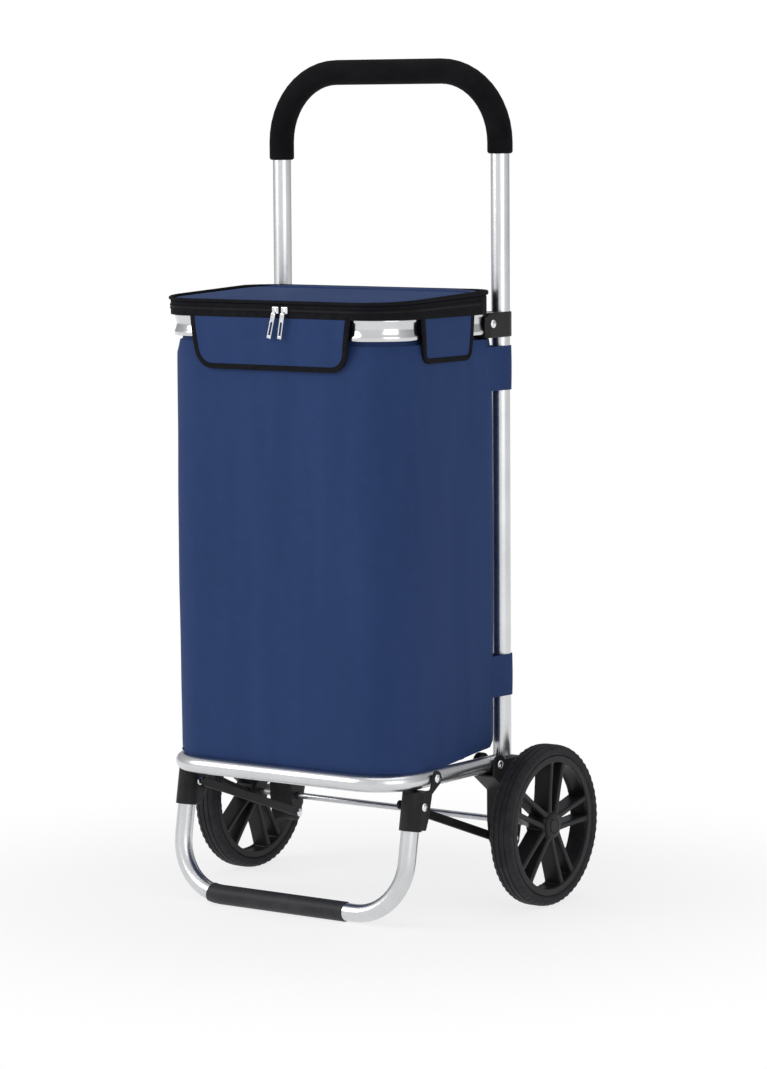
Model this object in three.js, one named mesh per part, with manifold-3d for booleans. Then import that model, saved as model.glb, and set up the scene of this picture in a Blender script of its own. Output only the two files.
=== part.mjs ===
// Folding shopping trolley: an inverted-U handle frame on two wheels, a folding platform with a foot stand
// under it, a folding top ring, and a fabric bag hung between ring and platform. Millimetres, +Z up, front
// is -Y. Lengths are worked out with the rear tubes' plane at y = 0; the whole group is then shifted so that
// the origin is the bottom centre of the object's box.

import * as THREE from 'three';
import { mergeVertices } from 'three/addons/utils/BufferGeometryUtils.js';
import Module from 'manifold-3d';

const wasm = await Module();
wasm.setup();

// ---------- driving dimensions ----------
const TOTAL_HEIGHT = 1000;
const GAP = 0.35;

const HANDLE = { halfWidth: 161, radius: 11, bore: 9.8, bend: 84, lowEnd: 118.5 };
const GRIP = { radius: 15, leftEnd: 880, rightEnd: 888 };
const HANDLE_TOP = TOTAL_HEIGHT - GRIP.radius;

const WHEEL = { radius: 96, width: 30, track: 440, axleY: 1.5 };
const AXLE_RADIUS = 3.8;
const TYRE_INNER = 84;
const RIM_INNER = 76;
const HUB_RADIUS = 17;
const SPOKES = { pairs: 5, depth: 24, thickness: 5, aside: 7, splay: 0.07, phase: -0.1745 };

const PLATFORM = {
  halfWidth: 166,
  front: -233,
  height: 169,
  radius: 9.75,
  bore: 8.55,
  bend: 55,
  rearEnd: -24,
};
const PLATFORM_PIVOT = { y: -31, z: PLATFORM.height };

const FOOT = { halfWidth: 165, front: -213, radius: 10.5, bore: 9.3, bend: 66, lean: 0.1773, legTop: 150 };
const FOOT_SLEEVE = { radius: 11.8, inner: 11, left: -114, right: 86 };
const FOOT_PIVOT = { y: -160, z: 170 };
const LINK_FRONT_PIVOT = { y: -186, z: 140 };
const LINK_REAR_PIVOT = { y: 0, z: 75 };
const LINK = { inner: 142.8, thickness: 3.8, halfHeight: 5.2 };

const RING = { halfWidth: 169, front: -234, depth: 9, bottom: 677.5, top: 703.5, bend: 50, rearEnd: -26 };
const RING_PIVOT = { y: -34, z: 690 };

const BAG = { halfWidth: 170, front: -230, rear: -13, wall: 2.5, frontCorner: 55, rearCorner: 20 };
const BAG_WALL_BOTTOM = 186;
const BAG_WALL_TOP = 672;

const LID = {
  halfWidth: 175,
  front: -239,
  corner: 56,
  tape: 3.5,
  rearEdge: -17,
  hingeLine: -60,
  plateBottom: 715,
  plateTop: 718.5,
  crownHalf: 144,
  crownTop: 731,
};

const RIVET = { shank: 3, head: 5, rise: 2, sides: 10 };
const RIVET_HOLE = 3.3;

const SIDES = 12;
const BEND_STEPS = 5;

// The zip pulls stand furthest forward, and the tyres furthest back.
const FRONT_REACH = 245;
const REAR_REACH = WHEEL.axleY + WHEEL.radius;
const REAR_PLANE = (FRONT_REACH - REAR_REACH) / 2;

// ---------- materials ----------
function finish(color, roughness, metalness) {
  return new THREE.MeshStandardMaterial({ color, roughness, metalness });
}

const ALUMINIUM = finish(0xc9ccd0, 0.3, 1);
const STEEL = finish(0x9a9ca0, 0.35, 1);
const CHROME = finish(0xd8dadd, 0.15, 1);
const BLACK_PLASTIC = finish(0x17181a, 0.45, 0);
const TYRE_BLACK = finish(0x1c1c1f, 0.7, 0);
const FOAM = finish(0x101012, 0.85, 0);
const BLACK_TAPE = finish(0x1a1b1d, 0.8, 0);
const BLUE_FABRIC = finish(0x2b3b68, 0.75, 0);
const BOARD = finish(0x202226, 0.8, 0);

// ---------- helpers ----------
const trolley = new THREE.Group();
trolley.position.y = REAR_PLANE;

// Leaves only merged positions, with the faces pointing out.
function closed(geometry) {
  const bare = geometry.index ? geometry.toNonIndexed() : geometry.clone();
  bare.deleteAttribute('normal');
  bare.deleteAttribute('uv');
  const merged = mergeVertices(bare, 1e-4);
  const position = merged.getAttribute('position');
  const corners = [new THREE.Vector3(), new THREE.Vector3(), new THREE.Vector3()];
  const index = [];
  let volume = 0;
  for (let i = 0; i < merged.index.count; i += 3) {
    const triangle = [0, 1, 2].map((k) => merged.index.getX(i + k));
    if (new Set(triangle).size < 3) continue;
    triangle.forEach((vertex, k) => corners[k].fromBufferAttribute(position, vertex));
    volume += corners[0].dot(corners[1].clone().cross(corners[2]));
    index.push(...triangle);
  }
  if (volume < 0) index.reverse();
  merged.setIndex(index);
  return merged;
}

function toSolid(geometry) {
  const mesh = closed(geometry);
  return new wasm.Manifold(new wasm.Mesh({
    numProp: 3,
    vertProperties: new Float32Array(mesh.getAttribute('position').array),
    triVerts: new Uint32Array(mesh.index.array),
  }));
}

function toGeometry(solid) {
  const mesh = solid.getMesh();
  const geometry = new THREE.BufferGeometry();
  geometry.setAttribute('position', new THREE.BufferAttribute(mesh.vertProperties, 3));
  geometry.setIndex(Array.from(mesh.triVerts));
  return geometry;
}

function cut(body, ...tools) {
  return toGeometry(tools.reduce((left, tool) => left.subtract(toSolid(tool)), toSolid(body)));
}

function join(...pieces) {
  return toGeometry(pieces.map(toSolid).reduce((whole, piece) => whole.add(piece)));
}

function common(a, b) {
  return toGeometry(toSolid(a).intersect(toSolid(b)));
}

function place(name, geometry, material) {
  const shape = closed(geometry);
  shape.computeVertexNormals();
  const mesh = new THREE.Mesh(shape, material);
  mesh.name = name;
  trolley.add(mesh);
}

// The right-hand piece as given, and its mirror image on the left.
function placePair(name, geometry, material) {
  place(`${name}_right`, geometry, material);
  place(`${name}_left`, geometry.clone().scale(-1, 1, 1), material);
}

function box(x0, x1, y0, y1, z0, z1) {
  const shape = new THREE.BoxGeometry(x1 - x0, y1 - y0, z1 - z0);
  return shape.translate((x0 + x1) / 2, (y0 + y1) / 2, (z0 + z1) / 2);
}

// An outline drawn in (y, z), given thickness along X from x0 to x1.
const OUTLINE_TO_X = new THREE.Matrix4().makeBasis(
  new THREE.Vector3(0, 1, 0),
  new THREE.Vector3(0, 0, 1),
  new THREE.Vector3(1, 0, 0),
);
function slabX(outline, x0, x1) {
  const options = { depth: x1 - x0, bevelEnabled: false, curveSegments: 4 };
  return new THREE.ExtrudeGeometry(outline, options).applyMatrix4(OUTLINE_TO_X).translate(x0, 0, 0);
}

// An outline drawn in (x, y), given height from z0 to z1.
function slabZ(outline, z0, z1) {
  const options = { depth: z1 - z0, bevelEnabled: false, curveSegments: 3 };
  return new THREE.ExtrudeGeometry(outline, options).translate(0, 0, z0);
}

function rodX(radius, x0, x1, y, z, sides = 12) {
  return new THREE.CylinderGeometry(radius, radius, x1 - x0, sides).rotateZ(Math.PI / 2)
    .translate((x0 + x1) / 2, y, z);
}

function rodZ(radius, z0, z1, x, y, sides = SIDES) {
  return new THREE.CylinderGeometry(radius, radius, z1 - z0, sides).rotateX(Math.PI / 2)
    .translate(x, y, (z0 + z1) / 2);
}

// A profile of (radius, x) points turned about an axis along X through (y, z).
function turnedX(profile, segments, y, z) {
  const points = profile.map(([radius, along]) => new THREE.Vector2(radius, along));
  const basis = new THREE.Matrix4().makeBasis(
    new THREE.Vector3(0, 1, 0),
    new THREE.Vector3(1, 0, 0),
    new THREE.Vector3(0, 0, 1),
  );
  return new THREE.LatheGeometry(points, segments).applyMatrix4(basis).translate(0, y, z);
}

function tubeSection(outer, inner, turn = 0) {
  const section = new THREE.Shape().absarc(0, 0, outer, turn, turn + 2 * Math.PI);
  section.holes.push(new THREE.Path().absarc(0, 0, inner, turn, turn + 2 * Math.PI));
  return section;
}

// A path known only at its stations: one at each end of a straight run, and several round each bend.
class StationPath extends THREE.Curve {
  constructor(stations) {
    super();
    this.stations = stations;
  }

  station(t) {
    return this.stations[Math.round(t * (this.stations.length - 1))];
  }

  getPoint(t) {
    return this.station(t).point.clone();
  }

  getPointAt(t) {
    return this.getPoint(t);
  }

  getTangent(t) {
    return this.station(t).tangent.clone();
  }

  getTangentAt(t) {
    return this.getTangent(t);
  }
}

// A path through the corners given, with each corner rounded to the bend radius.
function bentPath(corners, bend, steps = BEND_STEPS) {
  const points = corners.map((corner) => new THREE.Vector3(...corner));
  const heading = (i) => points[i + 1].clone().sub(points[i]).normalize();
  const stations = [{ point: points[0], tangent: heading(0) }];
  for (let i = 1; i < points.length - 1; i++) {
    const before = heading(i - 1);
    const after = heading(i);
    const turn = before.angleTo(after);
    const back = bend * Math.tan(turn / 2);
    const start = points[i].clone().addScaledVector(before, -back);
    const axis = before.clone().cross(after).normalize();
    const inward = axis.clone().cross(before);
    const centre = start.clone().addScaledVector(inward, bend);
    for (let step = 0; step <= steps; step++) {
      const angle = (turn * step) / steps;
      const spoke = inward.clone().negate().applyAxisAngle(axis, angle).multiplyScalar(bend);
      const tangent = before.clone().applyAxisAngle(axis, angle);
      stations.push({ point: centre.clone().add(spoke), tangent });
    }
  }
  stations.push({ point: points.at(-1), tangent: heading(points.length - 2) });
  return new StationPath(stations);
}

function swept(section, path, sectionSteps = SIDES / 2) {
  return new THREE.ExtrudeGeometry(section, {
    steps: path.stations.length - 1,
    curveSegments: sectionSteps,
    extrudePath: path,
  });
}

// The U that a bent tube makes in plan: back along the left, across the front, back along the right.
function planU(halfWidth, front, rear, z) {
  return [
    [-halfWidth, rear, z],
    [-halfWidth, front, z],
    [halfWidth, front, z],
    [halfWidth, rear, z],
  ];
}

// A flat rectangle in plan with separate front and rear corner radii.
function plate(halfWidth, front, rear, frontCorner, rearCorner) {
  const outline = new THREE.Shape();
  const turn = (x, y, radius, quarter) => {
    if (radius > 0) outline.absarc(x, y, radius, (quarter * Math.PI) / 2, ((quarter + 1) * Math.PI) / 2);
    else outline.lineTo(x, y);
  };
  outline.moveTo(halfWidth, rear - rearCorner);
  turn(halfWidth - rearCorner, rear - rearCorner, rearCorner, 0);
  turn(rearCorner - halfWidth, rear - rearCorner, rearCorner, 1);
  turn(frontCorner - halfWidth, front + frontCorner, frontCorner, 2);
  turn(halfWidth - frontCorner, front + frontCorner, frontCorner, 3);
  outline.closePath();
  return outline;
}

// A U-shaped band standing on edge: the plate's outer edge, inset by its thickness, open at the rear.
function band(halfWidth, front, rear, corner, thickness, z0, z1) {
  const outer = slabZ(plate(halfWidth, front, rear, corner, 0), z0, z1);
  const innerPlan = plate(halfWidth - thickness, front + thickness, rear + 50, corner - thickness, 0);
  return cut(outer, slabZ(innerPlan, z0 - 5, z1 + 5));
}

// A rivet along X; x0 and x1 are the faces it clamps. Its outer end has a domed head, and so has its inner
// end, unless something runs close past it and it ends flush.
function rivet(x0, x1, at, innerHead = true) {
  const { shank, head, rise, sides } = RIVET;
  const face = 0.15;
  const flush = [
    [0, x0 + 0.4],
    [shank, x0 + 0.4],
  ];
  const domed = [
    [0, x0 - face - rise],
    [head * 0.7, x0 - face - rise * 0.7],
    [head, x0 - face],
    [shank, x0 - face],
  ];
  return turnedX([
    ...(innerHead ? domed : flush),
    [shank, x1 + face],
    [head, x1 + face],
    [head * 0.7, x1 + face + rise * 0.7],
    [0, x1 + face + rise],
  ], sides, at.y, at.z);
}

function hole(x0, x1, at, radius = RIVET_HOLE) {
  return rodX(radius, x0, x1, at.y, at.z);
}

function polygon(points) {
  return new THREE.Shape(points.map(([u, v]) => new THREE.Vector2(u, v)));
}

// ---------- rear frame ----------
function handleFrame() {
  const path = (leftEnd, rightEnd) => bentPath([
    [-HANDLE.halfWidth, 0, leftEnd],
    [-HANDLE.halfWidth, 0, HANDLE_TOP],
    [HANDLE.halfWidth, 0, HANDLE_TOP],
    [HANDLE.halfWidth, 0, rightEnd],
  ], HANDLE.bend);
  const tube = swept(tubeSection(HANDLE.radius, HANDLE.bore), path(HANDLE.lowEnd, HANDLE.lowEnd));
  place('handle_tube', tube, ALUMINIUM);
  const grip = swept(tubeSection(GRIP.radius, HANDLE.radius + GAP), path(GRIP.leftEnd, GRIP.rightEnd));
  place('handle_grip', grip, FOAM);
}

const BRACKET = { inner: 147, outer: 179.5, socketHalf: 14.5, top: 174 };
const FORK = {
  inner: PLATFORM.halfWidth - PLATFORM.radius - GAP,
  outer: PLATFORM.halfWidth + PLATFORM.radius + GAP,
};

// The moulded piece that joins rear tube, axle, platform and link on each side.
function wheelBracket() {
  const cheek = 12;
  const outline = new THREE.Shape();
  outline.moveTo(BRACKET.socketHalf, BRACKET.top);
  outline.lineTo(PLATFORM_PIVOT.y + cheek, BRACKET.top);
  outline.absarc(PLATFORM_PIVOT.y, PLATFORM_PIVOT.z, cheek, 0.4, Math.PI);
  outline.lineTo(PLATFORM_PIVOT.y - cheek, 155);
  outline.lineTo(-13, 133);
  outline.lineTo(-13, WHEEL.radius);
  outline.absarc(LINK_REAR_PIVOT.y, LINK_REAR_PIVOT.z, 10, Math.PI, 2 * Math.PI);
  outline.lineTo(BRACKET.socketHalf, WHEEL.radius);
  outline.closePath();
  const body = slabX(outline, BRACKET.inner, BRACKET.outer);
  const slotBack = PLATFORM_PIVOT.y + 12.4;
  const slotFloor = PLATFORM_PIVOT.z - 12.4;
  const geometry = cut(
    body,
    box(FORK.inner, FORK.outer, -80, slotBack, slotFloor, 220),
    rodZ(HANDLE.radius + 0.5, HANDLE.lowEnd - 0.5, 220, HANDLE.halfWidth, 0),
    hole(BRACKET.inner - 5, BRACKET.outer + 5, PLATFORM_PIVOT),
    hole(BRACKET.inner - 5, BRACKET.outer + 5, LINK_REAR_PIVOT),
    hole(BRACKET.inner - 5, BRACKET.outer + 5, { y: WHEEL.axleY, z: WHEEL.radius }, AXLE_RADIUS + 0.4),
  );
  placePair('wheel_bracket', geometry, BLACK_PLASTIC);
  placePair('platform_rivet', rivet(BRACKET.inner, BRACKET.outer, PLATFORM_PIVOT, false), CHROME);
  placePair('link_rear_rivet', rivet(LINK.inner, BRACKET.outer, LINK_REAR_PIVOT), CHROME);
}

// The moulded fork on each rear tube that the top ring swings in: round behind the tube, bevelled in front.
function ringBracket() {
  const inner = 146.5;
  const outer = 174;
  const front = -46;
  const bevel = 4;
  const bottom = 673.5;
  const top = 703;
  const back = HANDLE.radius + 2;
  const plan = new THREE.Shape();
  plan.moveTo(outer, 0);
  plan.absarc(HANDLE.halfWidth, 0, back, 0, Math.PI);
  plan.lineTo(inner, -back / 2);
  plan.lineTo(inner, front + bevel);
  plan.lineTo(inner + bevel, front);
  plan.lineTo(outer - bevel, front);
  plan.lineTo(outer, front + bevel);
  plan.closePath();
  const side = polygon([
    [back, bottom],
    [back, top],
    [front + 6, top],
    [front, top - 6],
    [front, bottom],
  ]);
  const lipTop = RING.bottom - 0.2;
  const slotInner = RING.halfWidth - RING.depth - 0.4;
  const slotOuter = RING.halfWidth + 0.4;
  const geometry = cut(
    common(slabZ(plan, bottom, top), slabX(side, inner - 1, outer + 1)),
    box(slotInner, slotOuter, -42.5, RING_PIVOT.y + 16.5, bottom - 5, 720),
    box(slotInner, slotOuter, -60, -42, lipTop, 720),
    rodZ(HANDLE.radius + 0.5, bottom - 5, 720, HANDLE.halfWidth, 0),
    hole(inner - 5, outer + 5, RING_PIVOT),
  );
  placePair('ring_bracket', geometry, BLACK_PLASTIC);
  placePair('ring_rivet', rivet(inner, outer, RING_PIVOT), CHROME);
}

// Fabric sleeves sewn to the back of the bag, through which the rear tubes pass.
function tubeLoops() {
  const section = tubeSection(12.7, 11.6);
  const loops = { upper: [611, 663], lower: [248, 297] };
  for (const [level, [z0, z1]] of Object.entries(loops)) {
    const options = { depth: z1 - z0, bevelEnabled: false, curveSegments: SIDES / 2 };
    const sleeve = new THREE.ExtrudeGeometry(section, options).translate(HANDLE.halfWidth, 0, z0);
    placePair(`tube_loop_${level}`, sleeve, BLUE_FABRIC);
  }
}

// ---------- axle and wheels ----------
const HUB = { inner: WHEEL.track / 2 - 16, outer: WHEEL.track / 2 + 12 };

function axle() {
  const end = HUB.outer - 3;
  place('axle', rodX(AXLE_RADIUS, -end, end, WHEEL.axleY, WHEEL.radius), STEEL);
  const clip = cut(
    rodX(7.5, HUB.outer - 7.5, HUB.outer - 5.5, WHEEL.axleY, WHEEL.radius, 16),
    rodX(AXLE_RADIUS + 0.4, 0, 300, WHEEL.axleY, WHEEL.radius),
  );
  placePair('axle_clip', clip, STEEL);
}

function wheelRim() {
  const middle = WHEEL.track / 2;
  const half = WHEEL.width / 2 - 2;
  const ring = turnedX([
    [RIM_INNER, middle - half],
    [RIM_INNER, middle + half],
    [TYRE_INNER - 0.4, middle + half],
    [TYRE_INNER - 0.4, middle - half],
    [RIM_INNER, middle - half],
  ], 36, 0, 0);
  const pieces = [ring, rodX(HUB_RADIUS, HUB.inner, HUB.outer, 0, 0, 24)];
  const length = RIM_INNER - HUB_RADIUS + 8;
  const { pairs, depth, thickness, aside, splay, phase } = SPOKES;
  for (let pair = 0; pair < pairs; pair++) {
    for (const side of [-1, 1]) {
      const spoke = new THREE.BoxGeometry(depth, thickness, length);
      spoke.translate(0, side * aside, HUB_RADIUS - 4 + length / 2);
      spoke.rotateX(side * -splay + (2 * Math.PI * pair) / pairs + phase);
      pieces.push(spoke.translate(middle, 0, 0));
    }
  }
  const geometry = cut(
    join(...pieces),
    rodX(AXLE_RADIUS + 0.2, 0, 400, 0, 0, 24),
    rodX(9, HUB.outer - 10, HUB.outer + 5, 0, 0, 16),
  );
  return geometry.translate(0, WHEEL.axleY, WHEEL.radius);
}

function tyre() {
  const half = WHEEL.width / 2;
  const tread = WHEEL.radius;
  const shoulders = [
    [TYRE_INNER, half - 2],
    [tread - 5, half],
    [tread - 1.2, half - 3.5],
    [tread, half - 9],
  ];
  const across = shoulders.concat(shoulders.map(([radius, along]) => [radius, -along]).reverse());
  const profile = across.concat([across[0]]).map(([radius, along]) => [radius, along + WHEEL.track / 2]);
  return turnedX(profile, 40, WHEEL.axleY, WHEEL.radius);
}

function wheels() {
  placePair('wheel_rim', wheelRim(), BLACK_PLASTIC);
  placePair('tyre', tyre(), TYRE_BLACK);
  const capFace = HUB.outer + GAP;
  const cap = turnedX([
    [0, capFace],
    [15.5, capFace],
    [14.5, capFace + 1.6],
    [8, capFace + 2.6],
    [0, capFace + 2.6],
  ], 20, WHEEL.axleY, WHEEL.radius);
  placePair('hub_cap', cap, BLACK_PLASTIC);
}

// ---------- platform ----------
function platform() {
  const corners = planU(PLATFORM.halfWidth, PLATFORM.front, PLATFORM.rearEnd, PLATFORM.height);
  const tube = cut(
    swept(tubeSection(PLATFORM.radius, PLATFORM.bore), bentPath(corners, PLATFORM.bend)),
    hole(-200, 200, PLATFORM_PIVOT),
    hole(-200, 200, FOOT_PIVOT),
  );
  place('platform_tube', tube, ALUMINIUM);
  const rear = -57;
  place('bag_floor', slabZ(plate(166, -227, rear, 52, 10), 181.5, 183.7), BLUE_FABRIC);
  place('base_board', slabZ(plate(156, -222, rear, 47, 8), 184.2, 187.2), BOARD);
}

// ---------- foot stand ----------
// How far back a leg's middle line is at a height.
function legAt(z) {
  return FOOT.front + (z - FOOT_SLEEVE.radius) * FOOT.lean;
}

function footStand() {
  const barHeight = FOOT_SLEEVE.radius;
  const corners = [
    [-FOOT.halfWidth, legAt(FOOT.legTop), FOOT.legTop],
    [-FOOT.halfWidth, FOOT.front, barHeight],
    [FOOT.halfWidth, FOOT.front, barHeight],
    [FOOT.halfWidth, legAt(FOOT.legTop), FOOT.legTop],
  ];
  const path = bentPath(corners, FOOT.bend);

  // Both sections are turned so that the sleeve stands on a flat, though the legs lean.
  const step = Math.PI / SIDES;
  const turn = step + Math.atan(FOOT.lean);
  const tube = swept(tubeSection(FOOT.radius, FOOT.bore, turn), path);
  place('foot_tube', cut(tube, hole(-200, 200, LINK_FRONT_PIVOT)), ALUMINIUM);
  const across = FOOT_SLEEVE.radius / Math.cos(step);
  const sleeve = swept(tubeSection(across, FOOT_SLEEVE.inner, turn), path);
  const stretch = box(FOOT_SLEEVE.left, FOOT_SLEEVE.right, -300, -150, -20, 60);
  place('foot_sleeve', common(sleeve, stretch), TYRE_BLACK);
}

// The moulded socket on each leg: a round collar, with a web behind it that forks round the platform tube.
function footSocket() {
  const inner = 151;
  const outer = 179.5;
  const collar = { radius: 13.2, bottom: 112, top: 157 };
  const ear = 9;
  const middle = (collar.top + collar.bottom) / 2;
  const half = (collar.top - collar.bottom) / 2;
  const tilt = -Math.atan(FOOT.lean);
  const alongLeg = (shape) => shape.rotateX(tilt).translate(FOOT.halfWidth, legAt(middle), middle);
  const web = new THREE.Shape();
  web.moveTo(legAt(collar.bottom), collar.bottom + 2);
  web.lineTo(legAt(collar.top) - 1, collar.top);
  web.lineTo(FOOT_PIVOT.y - 12, collar.top + 1.5);
  web.absarc(FOOT_PIVOT.y, FOOT_PIVOT.z, ear, 2.2, -0.9, true);
  web.lineTo(-170, 153);
  web.lineTo(-174.9, 140);
  web.lineTo(-177.4, 128);
  web.lineTo(-183, collar.bottom);
  web.closePath();
  const forkInner = FORK.inner - 1.5;
  const geometry = cut(
    join(slabX(web, inner, outer), alongLeg(rodZ(collar.radius, -half, half, 0, 0, 20))),
    box(forkInner, FORK.outer, FOOT_PIVOT.y - 14, -120, 90, 200),
    box(forkInner, FORK.outer, -250, FOOT_PIVOT.y - 10, FOOT_PIVOT.z - 12.4, 200),
    alongLeg(rodZ(FOOT.radius + 0.5, -60, FOOT.legTop + 1 - middle, 0, 0)),
    hole(inner - 5, outer + 5, FOOT_PIVOT),
    hole(inner - 5, outer + 5, LINK_FRONT_PIVOT),
  );
  placePair('foot_socket', geometry, BLACK_PLASTIC);
  placePair('foot_rivet', rivet(inner, outer, FOOT_PIVOT), CHROME);
  placePair('link_front_rivet', rivet(inner, outer, LINK_FRONT_PIVOT), CHROME);
}

// The flat bar from each foot socket to the wheel bracket. It runs beside the front rivet's head, not on it.
function foldLink() {
  const front = LINK_FRONT_PIVOT;
  const rear = LINK_REAR_PIVOT;
  const heading = new THREE.Vector2(front.y - rear.y, front.z - rear.z).angle();
  const quarter = Math.PI / 2;
  const outline = new THREE.Shape();
  outline.absarc(front.y, front.z, LINK.halfHeight, heading - quarter, heading + quarter);
  outline.absarc(rear.y, rear.z, LINK.halfHeight, heading + quarter, heading + 3 * quarter);
  outline.closePath();
  const bar = slabX(outline, LINK.inner, LINK.inner + LINK.thickness);
  placePair('fold_link', cut(bar, hole(100, 200, rear)), BLACK_PLASTIC);
}

// ---------- top ring and bag mouth ----------
function topRing() {
  const middle = (RING.top + RING.bottom) / 2;
  const half = (RING.top - RING.bottom) / 2;
  // Drawn as (down, inward): lips at top and bottom, a waist between them, open inside.
  const section = polygon([
    [-half, 0],
    [-half + 2.5, 0],
    [-half + 6, 2.2],
    [half - 6, 2.2],
    [half - 3, 0],
    [half, 0],
    [half, RING.depth],
    [half - 2, RING.depth],
    [half - 4, 4.2],
    [-half + 4, 4.2],
    [-half + 2, RING.depth],
    [-half, RING.depth],
  ]);
  const corners = planU(RING.halfWidth, RING.front, RING.rearEnd, middle);
  const ring = cut(swept(section, bentPath(corners, RING.bend)), hole(-200, 200, RING_PIVOT));
  place('top_ring', ring, ALUMINIUM);
}

// The bag's hem inside the ring. It draws in ahead of the ring brackets, to pass between them.
function bagRim() {
  const side = RING.halfWidth - RING.depth - 0.6;
  const front = RING.front + RING.depth + 0.6;
  const wall = 2;
  const outline = (inset) => {
    const half = side - inset;
    const neck = 143.6 - inset;
    const corner = 42 - inset;
    const shape = new THREE.Shape();
    shape.moveTo(-half, -70);
    shape.absarc(-half + corner, front + inset + corner, corner, Math.PI, 1.5 * Math.PI);
    shape.absarc(half - corner, front + inset + corner, corner, 1.5 * Math.PI, 2 * Math.PI);
    shape.lineTo(half, -70);
    shape.lineTo(neck, -55);
    shape.lineTo(neck, -20 - inset);
    shape.lineTo(-neck, -20 - inset);
    shape.lineTo(-neck, -55);
    shape.closePath();
    return shape;
  };
  place('bag_rim', cut(slabZ(outline(0), 678, 703.2), slabZ(outline(wall), 660, 720)), BLACK_TAPE);
}

function zipTapes() {
  const { halfWidth, front, corner, tape, hingeLine } = LID;
  place('zip_tape_lower', band(halfWidth, front, hingeLine - 0.5, corner, tape, 704.2, 710.8), BLACK_TAPE);
  place('zip_tape_upper', band(halfWidth, front, hingeLine - 0.5, corner, tape, 711.3, 717.8), BLACK_TAPE);
  const inner = 172.6;
  const width = 4;
  const reach = inner + width;
  const edge = band(reach, front - (reach - halfWidth), hingeLine - 0.5, corner + 1.6, width, 718.3, 722.3);
  place('lid_piping', edge, BLACK_TAPE);
}

// A low crown over the middle of the lid and the strip behind it, highest at the hinge line.
function crown(front, rear, frontTop, rearTop) {
  const { plateBottom, plateTop, crownHalf } = LID;
  const outline = polygon([
    [front, plateBottom + 1],
    [front, plateTop + 1],
    [front + 8, frontTop],
    [rear, rearTop],
    [rear, plateBottom + 1],
  ]);
  return slabX(outline, -crownHalf, crownHalf);
}

function lidPanel() {
  const { halfWidth, front, corner, tape, hingeLine, rearEdge, plateBottom, plateTop, crownTop } = LID;
  const half = halfWidth - tape - 0.5;
  const flat = slabZ(plate(half, front + tape + 0.5, hingeLine - 0.5, corner - 4, 0), plateBottom, plateTop);
  place('lid_panel', join(flat, crown(front + 45, hingeLine - 0.5, crownTop - 7, crownTop)), BLUE_FABRIC);

  // The fixed strip behind the lid, which the lid is sewn to.
  const strip = slabZ(plate(halfWidth, hingeLine + 0.3, rearEdge, 0, 20), 704.3, plateTop);
  const inside = slabZ(plate(halfWidth - tape, hingeLine - 20, rearEdge - tape, 0, 16.5), 700, plateBottom);
  const raised = crown(hingeLine + 0.3, rearEdge - 8, crownTop - 0.6, crownTop - 4);
  place('lid_rear_strip', cut(join(strip, raised), inside), BLUE_FABRIC);
}

// Zip sliders near the middle of the front, each with a hanging pull that leans a little to the left.
function zipSliders() {
  const face = LID.front - 0.3;
  const hinge = 707.5;
  const sliders = { left: { x: 11.5, lean: 0.25 }, right: { x: 24.5, lean: 0.17 } };
  for (const [side, { x, lean }] of Object.entries(sliders)) {
    place(`zip_slider_${side}`, box(x - 4.5, x + 4.5, face - 3.2, face, hinge - 1, hinge + 8.5), CHROME);
    const pull = box(-3, 3, -FRONT_REACH, -FRONT_REACH + 1.7, -29.5, 0.3);
    const opening = box(-1.4, 1.4, -FRONT_REACH - 5, -FRONT_REACH + 5, -26, -10);
    place(`zip_pull_${side}`, cut(pull, opening).rotateY(lean).translate(x, 0, hinge), CHROME);
  }
}

// A hook-and-loop flap that folds over the ring, drawn as (across, z), with its free corners rounded.
function flapOutline(top, bottom, halfTop, halfBottom, round) {
  const shape = new THREE.Shape();
  shape.moveTo(-halfTop, top);
  shape.lineTo(-halfBottom - round * 0.3, bottom + round);
  shape.quadraticCurveTo(-halfBottom, bottom, -halfBottom + round, bottom);
  shape.lineTo(halfBottom - round, bottom);
  shape.quadraticCurveTo(halfBottom, bottom, halfBottom + round * 0.3, bottom + round);
  shape.lineTo(halfTop, top);
  shape.closePath();
  return shape;
}

function flaps() {
  const top = 702.5;
  const thickness = 2;
  const frontFace = RING.front - 2.5;
  const options = { depth: thickness, bevelEnabled: false, curveSegments: 5 };
  const front = new THREE.ExtrudeGeometry(flapOutline(top, 641, 116, 108, 20), options);
  place('front_flap', front.rotateX(Math.PI / 2).translate(0, frontFace, 0), BLUE_FABRIC);
  const sideMiddle = -124.5;
  const sideFace = BAG.halfWidth + 1.5;
  const side = slabX(flapOutline(top, 650, 52.5, 48, 14), sideFace, sideFace + thickness);
  placePair('side_flap', side.translate(0, sideMiddle, 0), BLUE_FABRIC);
}

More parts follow.
